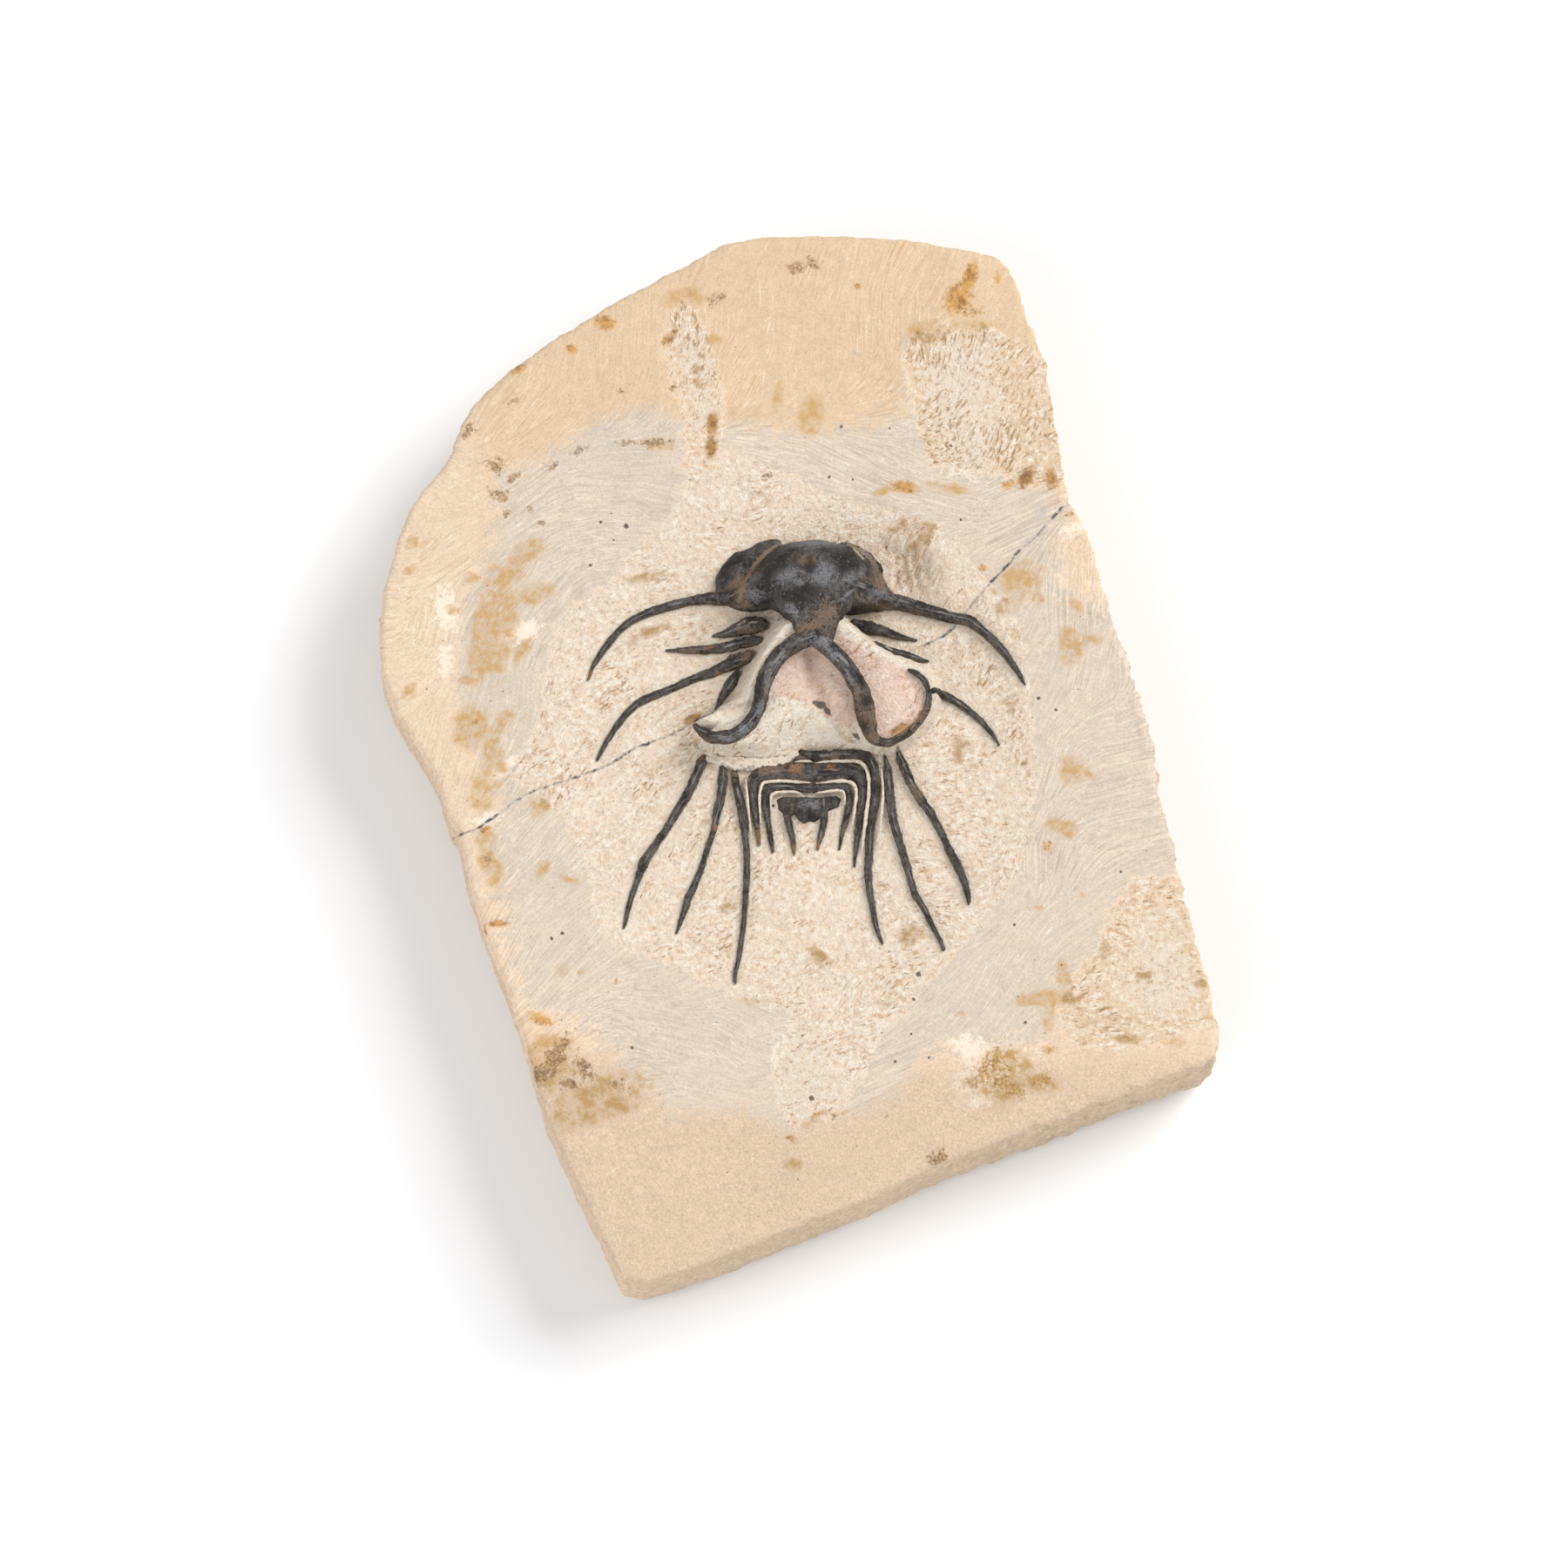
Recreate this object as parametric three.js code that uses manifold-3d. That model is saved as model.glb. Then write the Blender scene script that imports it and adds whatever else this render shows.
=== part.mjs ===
// A ram-horned trilobite, prepared out of a thin, glued slab of beige limestone.
// Millimetres. The slab lies on its flat back at z = 0, the fossil's head points to +Y and the
// worked face looks up (+Z). The origin is at the middle of the slab's back.
import * as THREE from "three";
import Module from "manifold-3d";

// ---- driving dimensions ----------------------------------------------------------------
const FACE_Z = 18; // the untouched face of the slab
const SIGHT_LEAN = THREE.MathUtils.degToRad(14); // sight line, leaning to the slab's foot
const SEAT_GAP = 0.3; // between the calcite and the stone below it
const FINEST = 0.05; // corners nearer than this to their neighbours' planes are left out
const HUB = [2, 8]; // middle of the raised stone between the horns
const HUB_Z = 22.2;
const SPOKE_STEP = THREE.MathUtils.degToRad(4.6); // widest angle between two spokes

const DISH = { centre: [0, -1], halfWidth: 33, halfLength: 39, depth: 1.2, edge: 0.16 };
const SCOOP = { centre: [17.5, 27.5], radius: 6.5, depth: 1.1 }; // hollow beside the right cheek
const CRACK = { width: 0.9, depth: 0.5 };

const HEAD = { hub: [2.2, 25.6], baseZ: 17.3, rise: 9.6, underZ: 15 };
const GLABELLA = { halfWidth: 4.4, furrow: 0.9, spread: 1.1 };
const TAIL = { hub: [2.1, -8.6], baseZ: 16.6, rise: 2.1, underZ: 15 };

// ---- plan points -----------------------------------------------------------------------
// Outline of the slab, clockwise from the top. Every point is the end of a spoke.
const SLAB_OUTLINE = [
  [-11.1, 81], [-5, 82.2], [5.7, 82.3], [16.9, 81.7], [26.9, 80.1], [31.4, 79], [33.6, 76.2],
  [35.6, 69.8], [38.9, 61.2], [39.6, 54.9], [40.5, 48.2], [41.9, 39.4], [44.6, 34.9], [46.3, 29.3],
  [47.7, 23.2], [50.2, 15.8], [52.5, 7.9], [54.4, 0.6], [55.2, -6.7], [57, -14.5], [58.8, -23.5],
  [60.5, -30.2], [62.1, -36.4], [63.2, -42.5], [63.4, -45.7], [62.9, -47.8], [61.2, -48.8],
  [50.5, -52.8], [34.8, -59], [21.3, -64], [12.4, -68.5], [1.2, -73], [-12.2, -78.6],
  [-22.6, -81.9], [-25.8, -81], [-37.3, -57], [-39.9, -47.2], [-42.8, -38.2], [-46.1, -30.4],
  [-48.9, -22], [-50.8, -14], [-51, -12.6], [-52.2, -11.4], [-54.8, -3.5], [-58.1, 1.8],
  [-60.9, 6.2], [-62.8, 11.5], [-63.3, 17.5], [-62.7, 25.8], [-60.3, 34.9], [-57.4, 40.7],
  [-53.5, 45.4], [-52.7, 47.4], [-51.3, 51.9], [-49.6, 54.8], [-44, 60.5], [-36.2, 66.2],
  [-27.1, 71.9], [-18, 77],
];

// The slab's edge, from the face down: how far inside the outline, and how high.
const SLAB_SIDE = [[1.3, 17.6], [0.4, 16.3], [0, 12], [0, 4.5], [1.1, 0]];

// Rim of the raised stone that carries the horns: sighted x, sighted y, height.
const RIM = [
  [-1.3, 19, 25.3], [-3.4, 16.2, 24.8], [-5.2, 13.2, 24.2], [-6.2, 10.5, 23.8], [-6.8, 7.8, 23.2],
  [-7.8, 5.9, 22.8], [-9.5, 4.3, 22.3], [-11.6, 3.7, 21.8], [-13.8, 4.6, 21.3], [-15.3, 5, 21],
  [-16, 3.8, 21], [-15, 1.9, 21.3], [-12.8, 0.8, 21.7], [-10, 0.6, 21.9], [-7.5, 1.2, 21.6],
  [-5.2, 1.2, 20.6], [-3, 1.2, 19.6], [-0.5, 1.6, 18.8], [2.5, 1.8, 18.6], [5.5, 1.8, 18.8],
  [8.5, 1.5, 19.6], [10.8, 0.8, 20.8], [13, 0.4, 21], [15.4, 1, 21], [17.9, 2.3, 21.1],
  [20, 4.6, 21.3], [21.1, 7, 21.4], [21.2, 9.4, 21.5], [20.2, 11.7, 21.6], [18, 13.1, 21.8],
  [15, 14, 22.3], [12.6, 15, 23], [10.7, 16.4, 24], [9, 18, 24.8], [7.4, 19.6, 25.4], [3, 21, 25.6],
];

// Where that raised stone meets the worked floor around it.
const FOOT = [
  [-2.5, 22.2], [-4.6, 18.7], [-5.9, 16.2], [-7.4, 13.7], [-9.1, 10.8], [-10.9, 7.7], [-13, 6.1],
  [-15.7, 6], [-17.1, 4.4], [-16.4, 2.2], [-14.6, 0.4], [-12, -0.7], [-9.5, -1.5], [-7, -2.1],
  [-4.5, -2.5], [-2, -2.2], [0, -1], [2, -0.1], [4, -0.1], [6, 0.1], [9, -0.1], [11, -0.4],
  [13.5, -0.7], [16, -0.2], [18.6, 1.3], [21.1, 4], [22.4, 7], [22.5, 9.8], [21.3, 12.7],
  [18.6, 14.6], [15.6, 15.4], [13.1, 16.8], [11.2, 18.3], [9.6, 20.2], [8, 22.2], [3, 24.2],
];

// The glued crack, left and right of the fossil.
const CRACK_LEFT = [[-54, -12.2], [-46.5, -11.2], [-40.4, -6.8], [-30, -3.1], [-24, 0.5], [-15.5, 4.5]];
const CRACK_RIGHT = [[22, 17.6], [24.4, 19.4], [28, 24.1], [34, 31.1], [44, 41.4]];

// The head's edge, clockwise from the left cheek's rear corner.
const HEAD_OUTLINE = [
  [-10.4, 22.6], [-11.5, 25], [-11.4, 28.2], [-10.4, 30.3], [-8.6, 31.8], [-6.5, 32.8], [-4, 33.2],
  [-1.2, 32.6], [1, 32.9], [3.5, 32.9], [6, 32.5], [9, 31.8], [11.3, 30.6], [12.9, 28.7],
  [13.8, 26.5], [15, 24.5], [16.2, 23.3], [15.7, 22.2], [12.5, 21.8], [9.5, 21.6], [7.5, 21],
  [5, 20.2], [2.5, 19.9], [0.3, 20.2], [-2, 21.2], [-4.5, 21.9], [-7.5, 22.3],
];

// The tail shield's edge, clockwise from its left corner.
const TAIL_OUTLINE = [
  [-3.1, -8.2], [-2.6, -7.5], [-0.4, -7.1], [2.1, -7.1], [4.7, -7.1], [6.2, -7], [6.5, -7.9],
  [5.6, -8.8], [5, -9.6], [3.8, -9.6], [3.4, -10.6], [2.6, -11], [1.5, -11.1], [0.5, -10.3],
  [-0.2, -9.6], [-1.7, -10.2], [-2.8, -9.4],
];

// Spines and bars: sighted x, sighted y, width, at each point of the run.
const NECK = [[3, 26.5, 9], [3.1, 23.5, 8.4], [3.1, 20.6, 7], [3.1, 18.6, 6.6], [2.8, 17.2, 5.6]];
const LEFT_HORN = [
  [3, 17.6, 2.8], [0.3, 16.6, 2.6], [-1.8, 15, 2.5], [-3.2, 13.3, 2.5], [-4.4, 11, 2.4],
  [-4.9, 9, 2.3], [-5.3, 7, 2.2], [-6.2, 4.8, 2.1], [-7.8, 3, 2], [-10, 1.9, 2], [-12.5, 1.9, 1.8],
  [-14.4, 3, 1.2], [-15.1, 3.9, 0.7],
];
const RIGHT_HORN = [
  [3, 17.6, 2.8], [5.7, 15.2, 2.5], [7.5, 13.3, 2.5], [9, 11, 2.6], [10.2, 8.3, 2.8],
  [10.6, 6, 3], [11.1, 3.8, 2.6], [12, 1.7, 1.8], [14, 1, 1.3], [16, 1.9, 1.2], [17.8, 3.2, 1.2],
  [19.3, 5, 1.1], [20.1, 7, 1], [20.2, 9, 0.9], [19.6, 10.6, 0.9], [18.4, 11.8, 0.8],
  [17, 12.4, 0.5],
];
const LEFT_GENAL_SPINE = [
  [-8, 24.2, 2.8], [-10.5, 23.6, 2], [-13, 23.7, 1.8], [-16, 23.3, 1.4], [-19, 22.5, 1.3],
  [-22, 21.6, 1.2], [-24.5, 20.4, 1.1], [-26.5, 18.8, 1], [-28, 17, 1], [-29.5, 14.9, 0.9],
  [-30.7, 12.8, 0.6], [-31.4, 10.7, 0.3],
];
const RIGHT_GENAL_SPINE = [
  [10, 23.6, 3], [14, 23.2, 2.6], [16, 23, 2.3], [20, 21.9, 2], [24, 20.7, 1.7], [26.5, 20.2, 1.6],
  [28.5, 18.7, 1.4], [30.5, 16.8, 1.2], [32.3, 14.6, 1.1], [33.8, 12.3, 0.8], [35, 10, 0.3],
];
const SPINES = {
  pleura_left_1: [
    [-4.6, 19.6, 2], [-6.5, 19.5, 2.1], [-8.5, 18.9, 1.7], [-10.5, 18.2, 1], [-12.5, 17.8, 0.3],
  ],
  pleura_left_2: [
    [-5.2, 17.2, 1.3], [-8, 16.7, 1.7], [-11, 15.9, 1.6], [-14, 15.6, 1.4], [-17, 15.6, 0.9],
    [-19.6, 15.5, 0.3],
  ],
  pleura_left_3: [
    [-6.6, 14.7, 2.1], [-8, 14.2, 2.2], [-10, 13.3, 2], [-12.5, 12.1, 1.5], [-15.5, 11, 1.2],
    [-18.5, 9.6, 1.1], [-21.5, 8.4, 1.2], [-24, 7, 1.1], [-26, 5, 1], [-27.5, 2.8, 0.9],
    [-28.8, 0.6, 0.7], [-29.9, -1.7, 0.4],
  ],
  pleura_left_4: [[-8.8, 11.6, 1.2], [-9.6, 10.3, 1.4], [-10.5, 9, 1.4], [-11.3, 7.6, 0.8]],
  pleura_right_1: [
    [9.2, 19.6, 1.6], [10.8, 19.1, 2.1], [12.5, 18.8, 1.9], [14.5, 18.2, 1.4], [16.5, 17.6, 0.9],
    [18.6, 17.1, 0.3],
  ],
  pleura_right_2: [
    [12.2, 16.8, 0.7], [13.4, 16.1, 0.9], [15, 15.4, 1], [17, 14.8, 1.2], [19, 14.1, 0.9],
    [20.4, 13.8, 0.3],
  ],
  pleura_right_3: [
    [22, 8.8, 1], [22.8, 8.4, 1.3], [24.5, 7.5, 1.2], [26.5, 6, 1], [28.3, 4.4, 0.9],
    [29.8, 2.6, 0.7], [31, 0.6, 0.3],
  ],
  trunk_spine_left_1: [
    [-13.6, -0.8, 1.2], [-14, -2, 1.5], [-14.9, -4.1, 1.5], [-16.3, -7.2, 1.4], [-18, -10, 1.3],
    [-19.4, -12.5, 1.1], [-21.3, -15.3, 1.2], [-22.7, -17.6, 1.5], [-23.6, -20.1, 1],
    [-24.7, -23.4, 0.8], [-25.2, -25.7, 0.7], [-25.7, -27.8, 0.3],
  ],
  trunk_spine_left_2: [
    [-11, -2, 1.2], [-10.8, -4.4, 1.5], [-11.1, -7.2, 1.4], [-11.7, -9.7, 1.3], [-12.2, -12.5, 0.9],
    [-13.2, -15.6, 0.9], [-14, -18.4, 0.9], [-14.9, -20.6, 1], [-16, -23.2, 1.2],
    [-16.8, -25.7, 0.9], [-17.8, -28.6, 0.3],
  ],
  trunk_spine_left_3: [
    [-9.1, -2.6, 1], [-8.9, -5.2, 1.3], [-8.3, -8, 1.4], [-7.7, -10.8, 1.4], [-7.4, -13.9, 1.1],
    [-7.2, -16.7, 1], [-7.2, -20.1, 1], [-7.4, -22.9, 0.9], [-7.6, -26.2, 0.8], [-8, -29.6, 0.8],
    [-8.4, -32.4, 0.7], [-9, -35.2, 0.6], [-8.8, -36.3, 0.3],
  ],
  trunk_spine_right_1: [
    [13.7, -1.3, 1], [14.1, -3, 1.2], [14.2, -4.6, 1.4], [14.4, -7.1, 1.5], [14.7, -9.7, 1.4],
    [15.2, -12.2, 1.3], [15.9, -14.7, 1.2], [16.7, -17.5, 1.2], [17.3, -19.6, 1], [18.1, -22.3, 1.1],
    [19.4, -24.6, 0.9], [20.6, -27.2, 0.8], [21.9, -29.7, 0.6], [22.4, -31.1, 0.4],
  ],
  trunk_spine_right_2: [
    [15.8, -0.6, 1.3], [16.1, -1.6, 1.4], [16.8, -3.3, 1.5], [17.8, -5.6, 1.3], [19, -7.7, 1.4],
    [20.4, -9.7, 1.3], [21.4, -11.5, 1.2], [22.4, -13.5, 1.1], [23.4, -15.8, 1.2],
    [24.7, -18.3, 1.3], [25.6, -20.6, 1.1], [26.1, -22.9, 0.8], [26.2, -24.1, 0.3],
  ],
  thorax_segment_7: [
    [-0.2, -1.2, 0.9], [1.4, -0.95, 1.4], [4, -1.1, 1.4], [7.5, -1.05, 1.4], [10.2, -1.1, 1.5],
    [11.5, -1.7, 1.5], [12.1, -3.4, 1.3], [12.3, -6, 1.3], [12, -9, 1.3], [11.5, -12, 1.3],
    [11.3, -15, 1.2], [11.1, -18.5, 1.2], [11.2, -21.3, 1.1], [11.7, -24.4, 0.9],
    [12.2, -27.3, 0.8], [13.2, -30.2, 0.3],
  ],
  thorax_segment_8: [
    [-5.4, -15, 0.3], [-5.5, -13.5, 0.7], [-5.8, -11, 1], [-6.1, -8, 1.3], [-6.3, -5.6, 1.5],
    [-5.6, -4.1, 1.8], [-3.4, -3.8, 2], [0.2, -3.6, 2.3], [4, -3.7, 2.2], [8, -3.5, 2.1],
    [9.7, -4, 1.8], [10.2, -5.6, 1.5], [10.2, -7.5, 1.4], [9.8, -11, 1.1], [9.3, -14.5, 0.8],
    [9, -18.3, 0.3],
  ],
  thorax_segment_9: [
    [-3.3, -16, 0.4], [-3.5, -14.5, 0.8], [-3.9, -12, 0.9], [-4.3, -9, 1.1], [-4.4, -7, 1.1],
    [-3.8, -6, 1.1], [-2.2, -5.8, 1.1], [0.4, -6, 1], [3.1, -6.1, 1], [5.8, -5.8, 1],
    [7.4, -5.8, 1.1], [8.2, -6.7, 1.1], [8.2, -8.5, 1.1], [7.8, -10.5, 1], [7.2, -13, 0.7],
    [6.7, -15.7, 0.3],
  ],
};
const TAIL_SPINE_LEFT = [[-1, -8.6, 1.3], [-1.2, -9.8, 1.2], [-0.8, -12, 1.1], [-0.3, -14, 0.9],
  [-0.1, -16.4, 0.4]];
const TAIL_SPINE_RIGHT = [[4.4, -8.6, 1.3], [4.5, -9.8, 1.2], [4.4, -11.5, 1.1], [4, -13.2, 0.9],
  [3.4, -15.6, 0.4]];

// ---- height of the stone ---------------------------------------------------------------
const smooth = (edge0, edge1, value) => THREE.MathUtils.smoothstep(value, edge0, edge1);

// A sighted point belongs to the face plane; this gives its true y for its true height.
const plumb = (y, z) => y - (z - FACE_Z) * Math.tan(SIGHT_LEAN);

// The worked floor around the fossil and the plain face outside it.
function floorHeight(x, y) {
  const reach = Math.hypot((x - DISH.centre[0]) / DISH.halfWidth, (y - DISH.centre[1]) / DISH.halfLength);
  const dish = DISH.depth * (1 - smooth(1 - DISH.edge, 1 + DISH.edge, reach));
  const scoopReach = Math.hypot(x - SCOOP.centre[0], y - SCOOP.centre[1]) / SCOOP.radius;
  const scoop = SCOOP.depth * (1 - smooth(0, 1, scoopReach));
  const swell = 0.2 * Math.sin(x * 0.11 + 1) * Math.sin(y * 0.09);
  return FACE_Z - dish - scoop + swell;
}

// Distance from the hub to a closed loop of points along one direction, and the height there.
function loopAlong(loop, angle) {
  const direction = [Math.cos(angle), Math.sin(angle)];
  let found = { radius: 0, z: HUB_Z };
  loop.forEach(([ax, ay, az = 0], i) => {
    const [bx, by, bz = 0] = loop[(i + 1) % loop.length];
    const [px, py] = [ax - HUB[0], ay - HUB[1]];
    const [ex, ey] = [bx - ax, by - ay];
    const cross = direction[0] * ey - direction[1] * ex;
    const along = (px * ey - py * ex) / cross;
    const part = (px * direction[1] - py * direction[0]) / cross;
    if (part >= 0 && part < 1 && along > found.radius) found = { radius: along, z: az + part * (bz - az) };
  });
  return found;
}

const rimLoop = RIM.map(([x, y, z]) => [x, plumb(y, z), z]);

// Height of the stone anywhere inside the outline: hub, rim, foot and floor in turn.
function stoneHeight(x, y) {
  const angle = Math.atan2(y - HUB[1], x - HUB[0]);
  const radius = Math.hypot(x - HUB[0], y - HUB[1]);
  const rim = loopAlong(rimLoop, angle);
  const foot = Math.max(loopAlong(FOOT, angle).radius, rim.radius + 0.4);
  if (radius <= rim.radius) return THREE.MathUtils.lerp(HUB_Z, rim.z, (radius / rim.radius) ** 2);
  const slope = smooth(rim.radius, foot, radius);
  return THREE.MathUtils.lerp(rim.z, floorHeight(x, y), slope);
}

// ---- closed solids ---------------------------------------------------------------------
const wasm = await Module();
wasm.setup();

// Skin over rings of equal length, closed by a fan at each end. Faces point out.
function loft(firstPoint, rings, lastPoint) {
  const size = rings[0].length;
  const points = [firstPoint, ...rings.flat(), lastPoint];
  const last = points.length - 1;
  const at = (ring, i) => 1 + ring * size + (i % size);
  const triangles = [];
  for (let i = 0; i < size; i++) {
    triangles.push([0, at(0, i), at(0, i + 1)]);
    triangles.push([last, at(rings.length - 1, i + 1), at(rings.length - 1, i)]);
    for (let ring = 0; ring + 1 < rings.length; ring++) {
      triangles.push([at(ring, i), at(ring + 1, i), at(ring + 1, i + 1)]);
      triangles.push([at(ring, i), at(ring + 1, i + 1), at(ring, i + 1)]);
    }
  }
  const volume = triangles.reduce((sum, [a, b, c]) =>
    sum + points[a].dot(new THREE.Vector3().crossVectors(points[b], points[c])), 0);
  const outward = volume > 0 ? triangles : triangles.map(([a, b, c]) => [a, c, b]);
  return new wasm.Manifold(new wasm.Mesh({
    numProp: 3,
    vertProperties: Float32Array.from(points.flatMap((point) => point.toArray())),
    triVerts: Uint32Array.from(outward.flat()),
  }));
}

// A tapering round bar along its points (x, y, z, width, height), pointed at both ends.
function taperedBar(points, step, sides) {
  const curve = new THREE.CatmullRomCurve3(points.map(([x, y, z]) => new THREE.Vector3(x, y, z)),
    false, "centripetal");
  const count = Math.max(4, Math.round(curve.getLength() / step));
  const rings = [];
  for (let k = 0; k <= count; k++) {
    const t = (0.02 + 0.96 * k / count) * (points.length - 1);
    const i = Math.min(points.length - 2, Math.floor(t));
    const width = THREE.MathUtils.lerp(points[i][3], points[i + 1][3], t - i);
    const height = THREE.MathUtils.lerp(points[i][4], points[i + 1][4], t - i);
    const centre = curve.getPoint(t / (points.length - 1));
    const tangent = curve.getTangent(t / (points.length - 1));
    const across = new THREE.Vector3(tangent.y, -tangent.x, 0).normalize();
    rings.push(Array.from({ length: sides }, (_, side) => {
      const turn = 2 * Math.PI * side / sides;
      return centre.clone().addScaledVector(across, Math.cos(turn) * width / 2)
        .add(new THREE.Vector3(0, 0, Math.sin(turn) * height / 2));
    }));
  }
  return loft(curve.getPoint(0), rings, curve.getPoint(1));
}

// Lays a sighted run (x, y, width) on the stone, as points for taperedBar.
function layOnStone(run, lift, heightPerWidth) {
  return run.map(([x, sightedY, width]) => {
    let y = sightedY;
    let z = FACE_Z;
    for (let pass = 0; pass < 6; pass++) {
      z = stoneHeight(x, y) + SEAT_GAP + lift * width;
      y = plumb(sightedY, z);
    }
    return [x, y, z, width, heightPerWidth * width];
  });
}

// A shallow dome over an outline, from the hub's height down to its edge.
function dome(outline, { hub, baseZ, rise, underZ }, fractions, furrow) {
  const heightAt = (x, y, part) => baseZ + rise * (1 - part ** 2.4) ** 0.8 - furrow(x, y, part);
  const rings = fractions.map((part) => outline.map(([ox, oy]) => {
    const [x, y] = [hub[0] + (ox - hub[0]) * part, hub[1] + (oy - hub[1]) * part];
    return new THREE.Vector3(x, y, heightAt(x, y, part));
  }));
  const under = outline.map(([x, y]) => new THREE.Vector3(x, y, underZ));
  return loft(new THREE.Vector3(hub[0], hub[1], heightAt(hub[0], hub[1], 0)), [...rings, under],
    new THREE.Vector3(hub[0], hub[1], underZ));
}

// ---- the slab --------------------------------------------------------------------------
// The outline with extra points where two spokes would stand too far apart.
function spokeEnds() {
  return SLAB_OUTLINE.flatMap(([ax, ay], i) => {
    const [bx, by] = SLAB_OUTLINE[(i + 1) % SLAB_OUTLINE.length];
    const turn = Math.atan2(ay - HUB[1], ax - HUB[0]) - Math.atan2(by - HUB[1], bx - HUB[0]);
    const angle = THREE.MathUtils.euclideanModulo(turn, 2 * Math.PI);
    const parts = Math.max(1, Math.ceil(angle / SPOKE_STEP));
    return Array.from({ length: parts }, (_, k) => [ax + (bx - ax) * k / parts, ay + (by - ay) * k / parts]);
  });
}

function slabSolid() {
  const insideRim = [0.22, 0.44, 0.64, 0.82, 0.93, 1];
  const onSlope = [0.5, 1];
  const onFloor = [0.03, 0.075, 0.13, 0.2, 0.28, 0.38, 0.5, 0.66, 0.84];
  const spokes = spokeEnds().map(([x, y]) => {
    const angle = Math.atan2(y - HUB[1], x - HUB[0]);
    const end = Math.hypot(x - HUB[0], y - HUB[1]);
    const rim = loopAlong(rimLoop, angle).radius;
    const foot = Math.max(loopAlong(FOOT, angle).radius, rim + 0.4);
    const point = (radius, z) => {
      const [px, py] = [HUB[0] + radius * Math.cos(angle), HUB[1] + radius * Math.sin(angle)];
      return new THREE.Vector3(px, py, z ?? stoneHeight(px, py));
    };
    const lip = end - SLAB_SIDE[0][0];
    return [
      ...insideRim.map((part) => point(rim * part)),
      ...onSlope.map((part) => point(THREE.MathUtils.lerp(rim, foot, part))),
      ...onFloor.map((part) => point(THREE.MathUtils.lerp(foot, lip, part))),
      ...SLAB_SIDE.map(([inset, z]) => point(end - inset, z)),
    ];
  });
  const rings = spokes[0].map((_, ring) => spokes.map((spoke) => spoke[ring]));
  return loft(new THREE.Vector3(...HUB, HUB_Z), rings, new THREE.Vector3(...HUB, 0));
}

// A V-shaped blade that follows the crack and stands in the face.
function crackBlade(run) {
  const rings = run.map(([x, y], i) => {
    const [before, after] = [run[Math.max(0, i - 1)], run[Math.min(run.length - 1, i + 1)]];
    const along = new THREE.Vector2(after[0] - before[0], after[1] - before[1]).normalize();
    const side = new THREE.Vector3(-along.y, along.x, 0).multiplyScalar(CRACK.width);
    const floor = new THREE.Vector3(x, y, stoneHeight(x, y) - CRACK.depth);
    const top = floor.clone().setZ(floor.z + 2 * CRACK.depth);
    return [floor, top.clone().add(side), top.clone().sub(side)];
  });
  const middle = (ring) => ring.reduce((sum, point) => sum.add(point), new THREE.Vector3()).divideScalar(3);
  return loft(middle(rings[0]), rings, middle(rings[rings.length - 1]));
}

// ---- the trilobite ---------------------------------------------------------------------
// The furrows on both sides of the middle lobe of the head.
function headFurrow(x, y, part) {
  const off = Math.abs(Math.abs(x - HEAD.hub[0]) - GLABELLA.halfWidth);
  return GLABELLA.furrow * Math.exp(-((off / GLABELLA.spread) ** 2)) * (1 - part ** 2);
}

function headSolid() {
  const vault = dome(HEAD_OUTLINE, HEAD, [0.22, 0.42, 0.6, 0.76, 0.89, 0.97, 1], headFurrow);
  const neckCrest = [26.2, 26.6, 26.4, 26.3, 25.9];
  const neck = NECK.map(([x, y, width], i) => [x, plumb(y, neckCrest[i]), neckCrest[i] - 1.4, width, 2.8]);
  return vault
    .add(taperedBar(neck, 2, 8))
    .add(taperedBar(layOnStone(LEFT_HORN, 0.25, 1), 2, 7))
    .add(taperedBar(layOnStone(RIGHT_HORN, 0.25, 1), 2, 7))
    .add(taperedBar(layOnStone(LEFT_GENAL_SPINE, 0.1, 1.1), 3, 6))
    .add(taperedBar(layOnStone(RIGHT_GENAL_SPINE, 0.1, 1.1), 3, 6));
}

function tailSolid() {
  return dome(TAIL_OUTLINE, TAIL, [0.4, 0.75, 0.93, 1], () => 0)
    .add(taperedBar(layOnStone(TAIL_SPINE_LEFT, 0.1, 1.1), 2, 6))
    .add(taperedBar(layOnStone(TAIL_SPINE_RIGHT, 0.1, 1.1), 2, 6));
}

// ---- assembly --------------------------------------------------------------------------
const stone = new THREE.MeshStandardMaterial({ color: "#dcc9a6", roughness: 0.9, metalness: 0 });
const calcite = new THREE.MeshStandardMaterial({ color: "#3c3d41", roughness: 0.55, metalness: 0 });

const wholeSlab = slabSolid();
const slabBelowFossil = wholeSlab.translate([0, 0, SEAT_GAP]);

// Takes away what would lie in the stone and keeps the one piece that stands out of it.
function seated(solid) {
  const pieces = solid.subtract(slabBelowFossil).simplify(FINEST).decompose();
  return pieces.reduce((best, piece) => (piece.volume() > best.volume() ? piece : best));
}

function namedMesh(name, solid, material) {
  const { vertProperties, triVerts } = solid.getMesh();
  const geometry = new THREE.BufferGeometry();
  geometry.setAttribute("position", new THREE.BufferAttribute(Float32Array.from(vertProperties), 3));
  geometry.setIndex(Array.from(triVerts));
  geometry.computeVertexNormals();
  const mesh = new THREE.Mesh(geometry, material);
  mesh.name = name;
  return mesh;
}

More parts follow.
